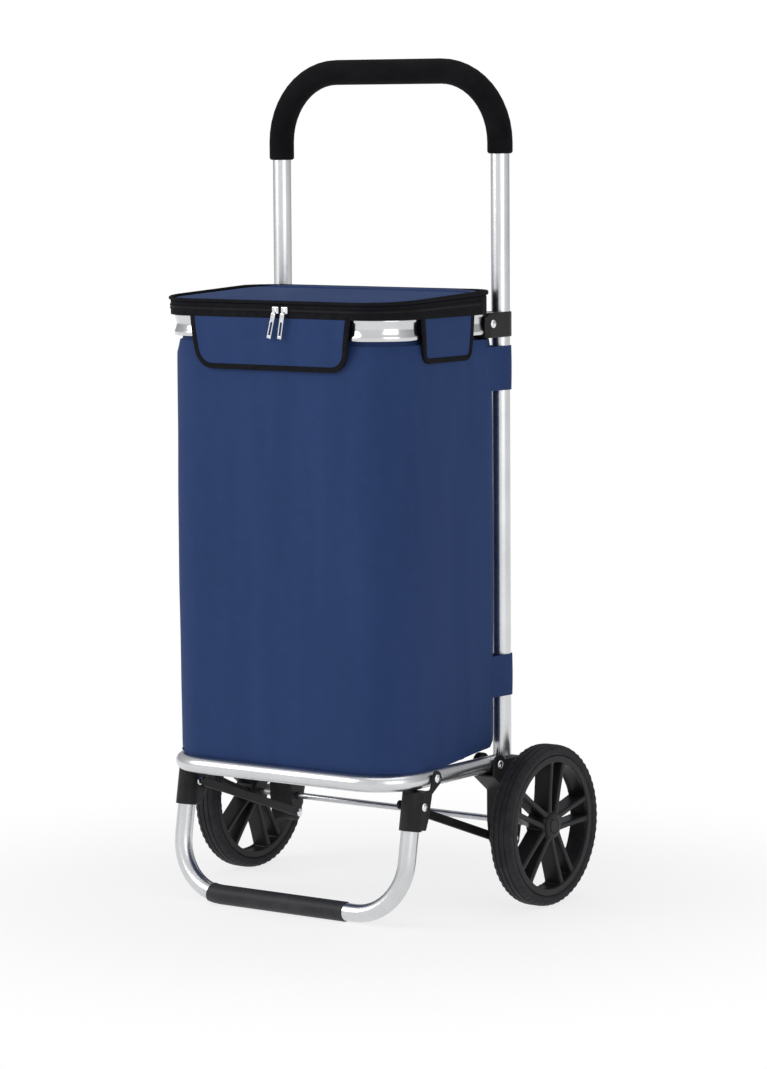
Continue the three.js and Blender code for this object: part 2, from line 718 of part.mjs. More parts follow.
// ---------- bag walls ----------
function bagWalls() {
  const { halfWidth, front, rear, wall, frontCorner, rearCorner } = BAG;
  const flatHalf = halfWidth - frontCorner - 0.5;
  const panel = box(-flatHalf, flatHalf, front, front + wall, BAG_WALL_BOTTOM, BAG_WALL_TOP);
  place('bag_front', panel, BLUE_FABRIC);
  place('bag_back', box(-148, 148, rear - wall, rear, 200, BAG_WALL_TOP), BLUE_FABRIC);

  const seamX = halfWidth - frontCorner;
  const backX = halfWidth - rearCorner;
  const backY = rear - 3;
  const outline = new THREE.Shape();
  outline.moveTo(seamX, front);
  outline.absarc(seamX, front + frontCorner, frontCorner, -Math.PI / 2, 0);
  outline.absarc(backX, backY - rearCorner, rearCorner, 0, Math.PI / 2);
  outline.lineTo(backX, backY - wall);
  outline.absarc(backX, backY - rearCorner, rearCorner - wall, Math.PI / 2, 0, true);
  outline.absarc(seamX, front + frontCorner, frontCorner - wall, 0, -Math.PI / 2, true);
  outline.closePath();
  placePair('bag_side', slabZ(outline, BAG_WALL_BOTTOM, BAG_WALL_TOP), BLUE_FABRIC);
}

handleFrame();
wheelBracket();
ringBracket();
tubeLoops();
axle();
wheels();
platform();
footStand();
footSocket();
foldLink();
topRing();
bagRim();
zipTapes();
lidPanel();
zipSliders();
flaps();
bagWalls();

export default trolley;
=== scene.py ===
"""Folding shopping trolley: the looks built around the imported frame.

Shapes are written in millimetres, with x from the middle, y from the rear tubes' plane and z from the ground;
place() turns them into the frame's metres. Front is -y.
"""
import copy
import math

import bmesh
import bpy
from mathutils import Matrix, Vector, noise


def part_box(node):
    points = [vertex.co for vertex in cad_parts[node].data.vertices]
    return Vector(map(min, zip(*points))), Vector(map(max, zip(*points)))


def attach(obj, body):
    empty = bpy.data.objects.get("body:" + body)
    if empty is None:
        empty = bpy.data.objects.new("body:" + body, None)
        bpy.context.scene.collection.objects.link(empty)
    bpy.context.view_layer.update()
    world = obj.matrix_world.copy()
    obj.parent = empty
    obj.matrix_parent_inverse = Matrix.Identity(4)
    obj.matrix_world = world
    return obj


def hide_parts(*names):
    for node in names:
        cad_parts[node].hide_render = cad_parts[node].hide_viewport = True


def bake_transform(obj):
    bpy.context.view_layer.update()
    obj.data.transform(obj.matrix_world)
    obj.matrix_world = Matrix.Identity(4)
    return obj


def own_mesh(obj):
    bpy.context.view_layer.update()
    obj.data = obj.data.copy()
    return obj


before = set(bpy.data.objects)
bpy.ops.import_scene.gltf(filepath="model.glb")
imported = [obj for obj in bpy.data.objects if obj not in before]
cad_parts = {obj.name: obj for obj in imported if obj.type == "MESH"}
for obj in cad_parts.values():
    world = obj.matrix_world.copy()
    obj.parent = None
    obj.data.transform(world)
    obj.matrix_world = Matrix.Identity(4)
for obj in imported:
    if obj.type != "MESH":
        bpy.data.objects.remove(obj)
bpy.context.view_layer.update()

MM = 0.001
UP = Vector((0, 0, 1))
BACK = Vector((0, 1, 0))
SIDES = (("left", -1), ("right", 1))
REAR_PLANE = sum(corner.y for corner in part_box("handle_tube")) / 2


class Extent:
    """A CAD node's box in the script's millimetres."""

    def __init__(self, node):
        lo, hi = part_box(node)
        self.x0, self.x1 = lo.x / MM, hi.x / MM
        self.y0, self.y1 = (lo.y - REAR_PLANE) / MM, (hi.y - REAR_PLANE) / MM
        self.z0, self.z1 = lo.z / MM, hi.z / MM
        self.x = (self.x0 + self.x1) / 2
        self.y = (self.y0 + self.y1) / 2
        self.z = (self.z0 + self.z1) / 2


# ---------- sizes ----------
HANDLE_RADIUS = 11
HANDLE_BORE = 9.8
HANDLE_BEND = 84
GRIP_RADIUS = 15
GRIP_STEP = 8
PLATFORM_RADIUS = 9.75
PLATFORM_BEND = 55
FOOT_RADIUS = 10.5
FOOT_BEND = 66
SLEEVE_RADIUS = 11.8
RING_BEND = 50
RING_DEPTH = 9
AXLE_RADIUS = 3.8
TYRE_RADIUS = 96
TYRE_INNER = 84
RIM_INNER = 76
HUB_RADIUS = 17
SPOKE_PAIRS = 5
SPOKE_PHASE = math.radians(80)

handle = Extent("handle_tube")
grip = Extent("handle_grip")
platform = Extent("platform_tube")
foot = Extent("foot_tube")
sleeve = Extent("foot_sleeve")
ring = Extent("top_ring")
front_wall = Extent("bag_front")
side_wall = Extent("bag_side_right")
back_wall = Extent("bag_back")
lid = Extent("lid_panel")
rear_strip = Extent("lid_rear_strip")
lower_tape = Extent("zip_tape_lower")
upper_tape = Extent("zip_tape_upper")
piping = Extent("lid_piping")
wheel = Extent("tyre_right")

HANDLE_HALF = handle.x1 - HANDLE_RADIUS
PLATFORM_HALF = platform.x1 - PLATFORM_RADIUS
PLATFORM_FRONT = platform.y0 + PLATFORM_RADIUS
FOOT_HALF = foot.x1 - FOOT_RADIUS
FOOT_FRONT = foot.y0 + FOOT_RADIUS
FOOT_TOP = 150
FOOT_LEAN = 0.1773
FOOT_PIVOT = (-160, 170)
COLLAR_RADIUS, COLLAR_BOTTOM, COLLAR_TOP = 13.2, 112, 157
LINK_FRONT_PIVOT = (-186, 140)
LINK_REAR_PIVOT = (0, 75)
LINK_HALF_HEIGHT = 5.2


def place(x, y, z):
    return Vector((x * MM, y * MM + REAR_PLANE, z * MM))


# ---------- mesh tools ----------
def running_length(points):
    lengths = [0.0]
    for a, b in zip(points, points[1:]):
        lengths.append(lengths[-1] + (b - a).length)
    return lengths


def smoothstep(t):
    t = min(1.0, max(0.0, t))
    return t * t * (3 - 2 * t)


class Surface:
    """Points and faces gathered for one mesh, in millimetres, with UVs as lengths along the cloth."""

    def __init__(self):
        self.points = []
        self.faces = []
        self.uvs = []

    def grid(self, rows, wrap_rows=False, wrap_columns=False):
        base = len(self.points)
        count, width = len(rows), len(rows[0])
        for row in rows:
            self.points.extend(row)
        middle = list(rows[count // 2])
        column = [row[0] for row in rows]
        u = running_length(middle + middle[:1])
        v = running_length(column + column[:1])
        for i in range(count if wrap_rows else count - 1):
            for j in range(width if wrap_columns else width - 1):
                corners = ((i, j), (i, j + 1), (i + 1, j + 1), (i + 1, j))
                self.faces.append([base + (a % count) * width + b % width for a, b in corners])
                self.uvs.append([(u[b], v[a]) for a, b in corners])

    def fill(self, row):
        base = len(self.points)
        self.points.extend(row)
        self.faces.append(list(range(base, base + len(row))))
        self.uvs.append([(p.x + p.y, p.z + p.y) for p in row])

    def solid(self, rings):
        """Rings joined into a skin, with the first and the last ring filled in."""
        self.grid(rings, wrap_columns=True)
        self.fill(rings[0])
        self.fill(rings[-1])
        return self

    def thick_cloth(self, outer, inner):
        """A cloth with thickness, from matching outer and inner rows, with its first and last rows closed."""
        self.grid([a + b[::-1] for a, b in zip(outer, inner)], wrap_columns=True)
        for near, far in ((outer[0], inner[0]), (outer[-1], inner[-1])):
            for j in range(len(near) - 1):
                self.fill([near[j], near[j + 1], far[j + 1], far[j]])
        return self

    def block(self, corner, along, across, up):
        """A small brick from one corner and its three edges."""
        low = [corner, corner + along, corner + along + across, corner + across]
        return self.solid([low, [p + up for p in low]])

    def bend(self, move):
        self.points = [move(p) for p in self.points]
        return self

    def mirrored(self):
        other = Surface()
        other.points = [Vector((-p.x, p.y, p.z)) for p in self.points]
        other.faces = [face[::-1] for face in self.faces]
        other.uvs = [corners[::-1] for corners in self.uvs]
        return other

    def mesh(self, name):
        mesh = bpy.data.meshes.new(name)
        mesh.from_pydata([place(*p) for p in self.points], [], self.faces)
        layer = mesh.uv_layers.new(name="cloth")
        layer.data.foreach_set("uv", [value for corners in self.uvs for uv in corners for value in uv])
        shape = bmesh.new()
        shape.from_mesh(mesh)
        bmesh.ops.remove_doubles(shape, verts=shape.verts, dist=0.02 * MM)
        bmesh.ops.dissolve_degenerate(shape, edges=shape.edges, dist=0.005 * MM)
        bmesh.ops.recalc_face_normals(shape, faces=shape.faces)
        shape.to_mesh(mesh)
        shape.free()
        return mesh


class Path:
    """A run through corners, each rounded to the bend radius, as close points with their directions."""

    TURN_STEP = math.radians(7.5)

    def __init__(self, corners, bend, step=15.0, closed=False):
        corners = [Vector(corner) for corner in corners]
        self.closed = closed
        self.points = []
        self.ways = []
        count = len(corners)
        turning = range(count) if closed else range(1, count - 1)
        if not closed:
            self._add(corners[0], (corners[1] - corners[0]).normalized())
        for i in turning:
            before = (corners[i] - corners[i - 1]).normalized()
            after = (corners[(i + 1) % count] - corners[i]).normalized()
            self._round(corners[i], before, after, bend, step)
        if closed:
            self._straight(self.points[0], self.ways[0], step)
            self.points.pop()
            self.ways.pop()
        else:
            self._straight(corners[-1], (corners[-1] - corners[-2]).normalized(), step)
        self.reach = running_length(self.points)

    def _add(self, point, way):
        self.points.append(point.copy())
        self.ways.append(way.copy())

    def _straight(self, end, way, step):
        start = self.points[-1]
        count = round((end - start).length / step)
        for k in range(1, max(1, count) + 1):
            self._add(start.lerp(end, k / max(1, count)), way)

    def _round(self, corner, before, after, bend, step):
        turn = before.angle(after)
        start = corner - before * bend * math.tan(turn / 2)
        axis = before.cross(after).normalized()
        spoke = before.cross(axis) * bend
        centre = start - spoke
        if self.points:
            self._straight(start, before, step)
        else:
            self._add(start, before)
        steps = max(3, round(turn / self.TURN_STEP))
        for k in range(1, steps + 1):
            turned = Matrix.Rotation(turn * k / steps, 3, axis)
            self._add(centre + turned @ spoke, turned @ before)

    def at(self, distance):
        """The point and direction at a distance along the run."""
        for i in range(len(self.reach) - 1):
            if distance <= self.reach[i + 1] or i == len(self.reach) - 2:
                share = (distance - self.reach[i]) / (self.reach[i + 1] - self.reach[i])
                point = self.points[i].lerp(self.points[i + 1], share)
                return point, self.ways[i].lerp(self.ways[i + 1], share).normalized()


def stretch_of(path, start, end):
    """The part of a run between two distances along it."""
    part = copy.copy(path)
    inside = [i for i, reach in enumerate(path.reach) if start + 0.5 < reach < end - 0.5]
    ends = [path.at(start), path.at(end)]
    part.points = [ends[0][0]] + [path.points[i] for i in inside] + [ends[1][0]]
    part.ways = [ends[0][1]] + [path.ways[i] for i in inside] + [ends[1][1]]
    part.reach = running_length(part.points)
    return part


def circle(radius, sides=40):
    angles = [math.tau * k / sides for k in range(sides)]
    return [(radius * math.cos(a), radius * math.sin(a)) for a in angles]


def rounded_box(width, height, radius, steps=4):
    """A section with rounded corners, centred on the path."""
    section = []
    for quarter, (sx, sy) in enumerate(((1, 1), (-1, 1), (-1, -1), (1, -1))):
        for k in range(steps + 1):
            angle = (quarter + k / steps) * math.pi / 2
            section.append((sx * (width / 2 - radius) + radius * math.cos(angle),
                            sy * (height / 2 - radius) + radius * math.sin(angle)))
    return section


def section_at(point, way, up, section):
    side = way.cross(up).normalized()
    return [point + side * a + up * b for a, b in section]


def sweep(surface, path, section, up=UP):
    """Carries a closed section along the path. Its first number points outward and its second up."""
    return surface.solid([section_at(point, way, up, section) for point, way in zip(path.points, path.ways)])


def hollow_tube(path, up, radius, bore, lip=0.8, steps=3):
    """A tube with rounded ends and an open bore."""
    start, end = path.points[0], path.points[-1]
    first, last = path.ways[0], path.ways[-1]
    turns = [math.pi / 2 * k / steps for k in range(steps + 1)]
    rounding = [(lip * (1 - math.cos(a)), radius - lip * (1 - math.sin(a))) for a in turns]
    stations = [(start + first * back, first, size) for back, size in rounding]
    stations += [(p, w, radius) for p, w in zip(path.points[1:-1], path.ways[1:-1])]
    stations += [(end - last * back, last, size) for back, size in reversed(rounding)]
    stations += [(p, w, bore) for p, w in zip(reversed(path.points), reversed(path.ways))]
    surface = Surface()
    rows = [section_at(point, way, up, circle(size)) for point, way, size in stations]
    surface.grid(rows, wrap_rows=True, wrap_columns=True)
    return surface


def turned(profile, y, z, segments=48, closed=False):
    """A profile of (radius, x) points turned about a line along x."""
    surface = Surface()
    rows = []
    for k in range(segments):
        angle = math.tau * k / segments
        rows.append([Vector((x, y + r * math.cos(angle), z + r * math.sin(angle))) for r, x in profile])
    surface.grid(rows, wrap_rows=True, wrap_columns=closed)
    return surface


def prism(outline, x0, x1):
    """An outline of (y, z) points given thickness along x."""
    return Surface().solid([[Vector((x, y, z)) for y, z in outline] for x in (x0, x1)])


def arc(y, z, radius, start, end, steps=10):
    angles = [math.radians(start + (end - start) * k / steps) for k in range(steps + 1)]
    return [(y + radius * math.cos(a), z + radius * math.sin(a)) for a in angles]


def brick(x0, x1, y0, y1, z0, z1):
    size = Vector((x1 - x0, y1 - y0, z1 - z0))
    edges = [Vector((size.x, 0, 0)), Vector((0, size.y, 0)), Vector((0, 0, size.z))]
    return Surface().block(Vector((x0, y0, z0)), *edges)


def rod(radius, start, end, sides=32):
    """A round bar between two points."""
    start, end = Vector(start), Vector(end)
    way = (end - start).normalized()
    up = BACK if abs(way.y) < 0.9 else UP
    side = way.cross(up).normalized()
    up = side.cross(way)
    return Surface().solid([section_at(p, way, up, circle(radius, sides)) for p in (start, end)])


def show(name, shape, material, body=None, stands_for=(), sharp=40):
    """Puts a Surface or a mesh on show, riding its body and standing for its CAD nodes."""
    mesh = shape.mesh(name) if isinstance(shape, Surface) else shape
    mesh.name = name
    mesh.materials.clear()
    mesh.materials.append(material)
    mesh.polygons.foreach_set("use_smooth", [True] * len(mesh.polygons))
    mesh.set_sharp_from_angle(angle=math.radians(sharp))
    piece = bpy.data.objects.new(name, mesh)
    bpy.context.scene.collection.objects.link(piece)
    if body:
        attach(piece, body)
    if stands_for:
        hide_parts(*stands_for)
    return piece


def moulded(name, parts, cuts=(), voxel=0.9, keep=0.35, rounds=3):
    """The parts fused into one solid with softened edges. A part is a Surface or the name of a CAD node."""
    shape = bmesh.new()
    for part in parts:
        shape.from_mesh(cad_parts[part].data if isinstance(part, str) else part.mesh(name))
    mesh = bpy.data.meshes.new(name)
    shape.to_mesh(mesh)
    shape.free()
    working = bpy.data.objects.new(f"{name}_working", mesh)
    tools = [bpy.data.objects.new(f"{name}_cut_{i}", cut.mesh(name)) for i, cut in enumerate(cuts)]
    for item in [working, *tools]:
        bpy.context.scene.collection.objects.link(item)
    for tool in tools:
        boolean = working.modifiers.new("cut", "BOOLEAN")
        boolean.operation = "DIFFERENCE"
        boolean.solver = "EXACT"
        boolean.use_self = True
        boolean.object = tool
    fuse = working.modifiers.new("fuse", "REMESH")
    fuse.mode = "VOXEL"
    fuse.voxel_size = voxel * MM
    soften = working.modifiers.new("soften", "SMOOTH")
    soften.factor = 0.5
    soften.iterations = rounds
    thin = working.modifiers.new("thin", "DECIMATE")
    thin.ratio = keep
    graph = bpy.context.evaluated_depsgraph_get()
    result = bpy.data.meshes.new_from_object(working.evaluated_get(graph))
    for item in [working, *tools]:
        bpy.data.objects.remove(item)
    return result


# ---------- materials ----------
class Graph:
    """A node tree being wired up."""

    def __init__(self, owner):
        owner.use_nodes = True
        self.tree = owner.node_tree

    def node(self, kind, links=None, values=None, **settings):
        made = self.tree.nodes.new(kind)
        for key, value in settings.items():
            setattr(made, key, value)
        for key, value in (values or {}).items():
            made.inputs[key].default_value = value
        for key, socket in (links or {}).items():
            self.tree.links.new(socket, made.inputs[key])
        return made

    def colours(self, value, *stops):
        ramp = self.node("ShaderNodeValToRGB", {"Fac": value})
        for element, (position, colour) in zip(ramp.color_ramp.elements, stops):
            element.position = position
            element.color = (*colour, 1)
        return ramp.outputs[0]


class Recipe(Graph):
    """A node material put together round one Principled shader. Its slot is the record's finish."""

    def __init__(self, name, colour, roughness, metallic=0.0, sheen=0.0, specular=0.5, slot=None):
        self.material = bpy.data.materials.new(name)
        self.material["slot"] = slot or name
        super().__init__(self.material)
        self.shader = self.tree.nodes["Principled BSDF"]
        self.shader.inputs["Base Color"].default_value = (*colour, 1)
        self.shader.inputs["Roughness"].default_value = roughness
        self.shader.inputs["Metallic"].default_value = metallic
        self.shader.inputs["Sheen Weight"].default_value = sheen
        self.shader.inputs["Specular IOR Level"].default_value = specular
        self.material.diffuse_color = (*colour, 1)

    def math(self, operation, a, b=0.0):
        made = self.node("ShaderNodeMath", operation=operation)
        for index, value in enumerate((a, b)):
            if isinstance(value, (int, float)):
                made.inputs[index].default_value = value
            else:
                self.tree.links.new(value, made.inputs[index])
        return made.outputs[0]

    def coordinates(self, which="Object", scale=(1, 1, 1)):
        source = self.node("ShaderNodeTexCoord").outputs[which]
        return self.node("ShaderNodeMapping", {"Vector": source}, {"Scale": scale}).outputs[0]

    def noise(self, vector, scale, detail=3.0, roughness=0.5):
        values = {"Scale": scale, "Detail": detail, "Roughness": roughness}
        return self.node("ShaderNodeTexNoise", {"Vector": vector}, values).outputs["Fac"]

    def spread(self, value, low, high):
        """Maps a 0 to 1 value to a range."""
        return self.node("ShaderNodeMapRange", {"Value": value}, {"To Min": low, "To Max": high}).outputs[0]

    def mix(self, share, a, b):
        """Mixes a socket's colour with a fixed one."""
        links = {0: share, 6: a}
        return self.node("ShaderNodeMix", links, {7: (*b, 1)}, data_type="RGBA").outputs[2]

    def to(self, name, socket):
        self.tree.links.new(socket, self.shader.inputs[name])

    def bump(self, height, strength, depth):
        """Adds a bump of the given depth in millimetres, over any bump already there."""
        links = {"Height": height}
        normal = self.shader.inputs["Normal"]
        if normal.is_linked:
            links["Normal"] = normal.links[0].from_socket
        made = self.node("ShaderNodeBump", links, {"Strength": strength, "Distance": depth * MM})
        self.tree.links.new(made.outputs[0], normal)


def weave(recipe, pitch):
    """The height of a plain weave's threads, from 0 to 1."""
    threads = recipe.coordinates("UV", (math.tau / pitch, math.tau / pitch, 1))
    split = recipe.node("ShaderNodeSeparateXYZ", {"Vector": threads})
    warp = recipe.math("SINE", split.outputs[0])
    weft = recipe.math("SINE", split.outputs[1])
    crossing = recipe.math("MULTIPLY", warp, weft)
    return recipe.math("ADD", recipe.math("MULTIPLY", crossing, 0.5), 0.5)


def blue_cloth():
    """Coated navy polyester: fine weave with a painted highlight on the thread tops, soft mottling and faint
    upright streaks.
    """
    recipe = Recipe("blue_fabric", (0.019, 0.038, 0.118), 0.7, sheen=0.02, specular=0.06)
    threads = weave(recipe, 1.0)
    solid = recipe.coordinates()
    streaks = recipe.noise(recipe.coordinates("Object", (1, 1, 0.12)), 26, 4)
    mottle = recipe.noise(solid, 70, 5, 0.6)
    blend = recipe.math("ADD", recipe.math("MULTIPLY", streaks, 0.6), recipe.math("MULTIPLY", mottle, 0.4))
    cloth = recipe.colours(blend, (0.3, (0.018, 0.038, 0.112)), (0.7, (0.025, 0.050, 0.146)))
    # Painted highlight: the weave's thread tops are mixed towards a lighter navy.
    cloth_with_painted_highlight = recipe.mix(recipe.spread(threads, 0.0, 0.22), cloth, (0.038, 0.068, 0.178))
    recipe.to("Base Color", cloth_with_painted_highlight)
    recipe.to("Roughness", recipe.spread(mottle, 0.5, 0.74))
    recipe.shader.inputs["Sheen Roughness"].default_value = 0.45
    recipe.shader.inputs["Sheen Tint"].default_value = (0.55, 0.65, 0.9, 1)
    recipe.bump(threads, 0.35, 0.12)
    recipe.bump(recipe.noise(solid, 22, 4), 0.25, 1.2)
    return recipe.material


def black_tape():
    """Woven binding tape with fine ribs across it, the rib tops painted lighter as a highlight."""
    recipe = Recipe("black_tape", (0.006, 0.006, 0.008), 0.72, sheen=0.01, specular=0.04)
    ribs = weave(recipe, 1.2)
    dust = recipe.noise(recipe.coordinates(), 160, 4)
    colour = recipe.colours(dust, (0.35, (0.004, 0.004, 0.006)), (0.75, (0.011, 0.011, 0.014)))
    # Painted highlight: the rib tops are mixed towards a lighter grey.
    recipe.to("Base Color", recipe.mix(recipe.spread(ribs, 0.0, 0.4), colour, (0.018, 0.018, 0.021)))
    recipe.to("Roughness", recipe.spread(dust, 0.6, 0.85))
    recipe.bump(ribs, 0.5, 0.18)
    return recipe.material


def zip_nylon():
    """The slightly glossy nylon of the zip's teeth."""
    recipe = Recipe("zip_nylon", (0.008, 0.008, 0.009), 0.4, specular=0.15, slot="black_tape")
    grain = recipe.noise(recipe.coordinates(), 400, 2)
    recipe.to("Roughness", recipe.spread(grain, 0.3, 0.5))
    recipe.to("Base Color", recipe.colours(grain, (0.3, (0.006, 0.006, 0.007)), (0.8, (0.016, 0.016, 0.018))))
    return recipe.material


def aluminium():
    """Satin anodised tube, drawn along its length, with faint handling marks."""
    recipe = Recipe("aluminium", (0.68, 0.69, 0.70), 0.26, metallic=1.0)
    drawn = recipe.noise(recipe.coordinates("UV", (1.2, 0.008, 1)), 1.0, 2)
    haze = recipe.noise(recipe.coordinates(), 18, 5, 0.6)
    marks = recipe.noise(recipe.coordinates("Object", (1, 1, 0.3)), 220, 2)
    recipe.to("Base Color", recipe.colours(haze, (0.3, (0.60, 0.61, 0.625)), (0.75, (0.70, 0.705, 0.71))))
    rough = recipe.math("ADD", recipe.spread(drawn, 0.18, 0.26), recipe.spread(haze, 0.03, 0.09))
    recipe.to("Roughness", rough)
    recipe.bump(drawn, 0.04, 0.02)
    recipe.bump(marks, 0.02, 0.03)
    return recipe.material


def bright_aluminium():
    """The polished extrusion of the top ring."""
    recipe = Recipe("ring_aluminium", (0.64, 0.65, 0.66), 0.2, metallic=1.0, slot="aluminium")
    drawn = recipe.noise(recipe.coordinates("UV", (2.2, 0.01, 1)), 1.0, 2)
    haze = recipe.noise(recipe.coordinates(), 25, 4)
    rough = recipe.math("ADD", recipe.spread(drawn, 0.06, 0.14), recipe.spread(haze, 0.02, 0.1))
    recipe.to("Roughness", rough)
    recipe.to("Base Color", recipe.colours(haze, (0.3, (0.60, 0.605, 0.62)), (0.7, (0.68, 0.68, 0.685))))
    recipe.bump(drawn, 0.08, 0.04)
    return recipe.material


def metal(name, colour, roughness):
    """Plated steel: tiny ripples and a patchy shine."""
    recipe = Recipe(name, colour, roughness, metallic=1.0)
    patchy = recipe.noise(recipe.coordinates(), 130, 4)
    darker = tuple(value * 0.82 for value in colour)
    recipe.to("Base Color", recipe.colours(patchy, (0.25, darker), (0.6, colour)))
    recipe.to("Roughness", recipe.spread(patchy, roughness * 0.7, roughness * 1.5))
    recipe.bump(patchy, 0.06, 0.08)
    return recipe.material


def moulded_plastic(name, colour, roughness, grain_depth):
    """Injection-moulded plastic with fine grain and its pointy edges a little lighter."""
    recipe = Recipe(name, colour, roughness, specular=0.18)
    solid = recipe.coordinates()
    grain = recipe.noise(solid, 900, 2)
    patches = recipe.noise(solid, 45, 4, 0.6)
    lighter = tuple(value * 1.8 + 0.006 for value in colour)
    body = recipe.colours(patches, (0.3, colour), (0.8, lighter))
    # Pointy edges are mixed a quarter of the way towards a lighter grey.
    edges = recipe.node("ShaderNodeNewGeometry").outputs["Pointiness"]
    edge_mask = recipe.colours(edges, (0.52, (0, 0, 0)), (0.62, (1, 1, 1)))
    share = recipe.math("MULTIPLY", edge_mask, 0.25)
    recipe.to("Base Color", recipe.mix(share, body, tuple(value * 3 + 0.02 for value in colour)))
    recipe.to("Roughness", recipe.spread(patches, roughness * 0.8, roughness * 1.25))
    recipe.bump(grain, 0.25, grain_depth)
    return recipe.material


def rubber():
    """Matt tyre compound with dust in it."""
    recipe = Recipe("tyre", (0.018, 0.018, 0.020), 0.6, specular=0.15)
    solid = recipe.coordinates()
    dust = recipe.noise(solid, 60, 6, 0.65)
    grain = recipe.noise(solid, 700, 3)
    recipe.to("Base Color", recipe.colours(dust, (0.3, (0.011, 0.011, 0.013)), (0.8, (0.032, 0.032, 0.036))))
    recipe.to("Roughness", recipe.spread(dust, 0.48, 0.75))
    recipe.bump(grain, 0.3, 0.12)
    return recipe.material


def foam():
    """Closed-cell foam: small pores over a dull skin."""
    recipe = Recipe("foam", (0.006, 0.006, 0.007), 0.85, sheen=0.01, specular=0.05)
    solid = recipe.coordinates()
    cells = recipe.node("ShaderNodeTexVoronoi", {"Vector": solid}, {"Scale": 900}).outputs["Distance"]
    patches = recipe.noise(solid, 40, 5)
    colour = recipe.colours(patches, (0.3, (0.004, 0.004, 0.005)), (0.8, (0.010, 0.010, 0.011)))
    recipe.to("Base Color", colour)
    recipe.to("Roughness", recipe.spread(patches, 0.72, 0.95))
    recipe.bump(cells, 0.4, 0.25)
    recipe.bump(patches, 0.2, 0.6)
    return recipe.material


def board():
    """The dark fibre board in the bottom of the bag."""
    recipe = Recipe("board", (0.022, 0.024, 0.028), 0.8)
    solid = recipe.coordinates()
    fibres = recipe.noise(recipe.coordinates("Object", (1, 0.25, 1)), 500, 4)
    patches = recipe.noise(solid, 50, 4)
    colour = recipe.colours(patches, (0.3, (0.016, 0.017, 0.020)), (0.8, (0.034, 0.036, 0.042)))
    recipe.to("Base Color", colour)
    recipe.bump(fibres, 0.3, 0.2)
    return recipe.material


BLUE = blue_cloth()
TAPE = black_tape()
NYLON = zip_nylon()
ALUMINIUM = aluminium()
RING_METAL = bright_aluminium()
STEEL = metal("steel", (0.55, 0.56, 0.58), 0.3)
CHROME = metal("chrome", (0.80, 0.81, 0.83), 0.14)
PLASTIC = moulded_plastic("black_plastic", (0.008, 0.008, 0.009), 0.38, 0.06)
RUBBER = rubber()
FOAM = foam()
SLEEVE = moulded_plastic("sleeve", (0.022, 0.022, 0.025), 0.45, 0.1)
BOARD = board()


# ---------- rear frame ----------
RIVET_HEAD, RIVET_RISE, RIVET_SHANK = 5.0, 2.0, 3.0
LOOP_RADIUS, LOOP_THICKNESS = 12.6, 1.0


def rivets(stem, body, inner_head=True):
    """A pair of rivets with domed heads; the inner end is flush where a link bar runs close past it."""
    angles = [math.pi / 2 * k / 6 for k in range(7)]
    dome = [(RIVET_HEAD * math.sin(a), RIVET_RISE * math.cos(a)) for a in angles]
    for side, sign in SIDES:
        node = f"{stem}_{side}"
        at = Extent(node)
        near, far = sorted((abs(at.x0), abs(at.x1)))
        profile = [(RIVET_SHANK, far - RIVET_RISE)] + [(r, far - RIVET_RISE + h) for r, h in reversed(dome)]
        if inner_head:
            head = [(r, near + RIVET_RISE - h) for r, h in dome]
            profile = head + [(RIVET_SHANK, near + RIVET_RISE)] + profile
        else:
            profile = [(0, near), (RIVET_SHANK, near)] + profile
        shape = turned([(r, sign * x) for r, x in profile], at.y, at.z, 28)
        name = f"{node}_domed"
        show(name, shape, CHROME, body, [node], sharp=50)


def handle_frame():
    def run(left_end, right_end):
        top = handle.z1 - HANDLE_RADIUS
        corners = [(-HANDLE_HALF, 0, left_end), (-HANDLE_HALF, 0, top), (HANDLE_HALF, 0, top),
                   (HANDLE_HALF, 0, right_end)]
        return Path(corners, HANDLE_BEND)

    bar = hollow_tube(run(handle.z0, handle.z0), BACK, HANDLE_RADIUS, HANDLE_BORE)
    show("handle_bar", bar, ALUMINIUM, "rear_frame", ["handle_tube"])
    grip_run = run(grip.z0, grip.z0 + GRIP_STEP)
    soft = hollow_tube(grip_run, BACK, GRIP_RADIUS, HANDLE_RADIUS + 0.2, lip=3.2, steps=6)
    show("grip_foam", soft, FOAM, "rear_frame", ["handle_grip"], sharp=60)


def bracket_pair(stem, body, voxel):
    for side, _ in SIDES:
        name = f"{stem}_{side}"
        show(f"{name}_moulding", moulded(name, [name], voxel=voxel), PLASTIC, body, [name], sharp=60)


def tube_loops():
    """Cloth sleeves round the rear tubes, each joined to the bag's side by a flat tail."""
    turn = [math.radians(angle) for angle in range(0, 331, 10)]
    tail_end = Vector((BAG_HALF - 0.6, -42))
    for level in ("upper", "lower"):
        at = Extent(f"tube_loop_{level}_right")

        def outline(radius, end):
            round_tube = [Vector((at.x + radius * math.cos(a), radius * math.sin(a))) for a in turn]
            tail = [round_tube[0].lerp(end, k / 6) for k in range(6, 0, -1)]
            return tail + round_tube

        outer = outline(LOOP_RADIUS, tail_end)
        inner = outline(LOOP_RADIUS - LOOP_THICKNESS, tail_end - Vector((LOOP_THICKNESS, 0)))
        shells = ([], [])
        for k in range(11):
            share = k / 10
            z = at.z0 + (at.z1 - at.z0) * share
            puff = 1 + 0.03 * math.sin(math.pi * share)
            for rows, run in zip(shells, (outer, inner)):
                rows.append([Vector((at.x + (p.x - at.x) * puff, p.y * puff, z)) for p in run])
        surface = Surface().thick_cloth(*shells)
        for side, made in (("left", surface.mirrored()), ("right", surface)):
            node = f"tube_loop_{level}_{side}"
            show(f"loop_{level}_{side}", made, BLUE, "rear_frame", [node], sharp=50)


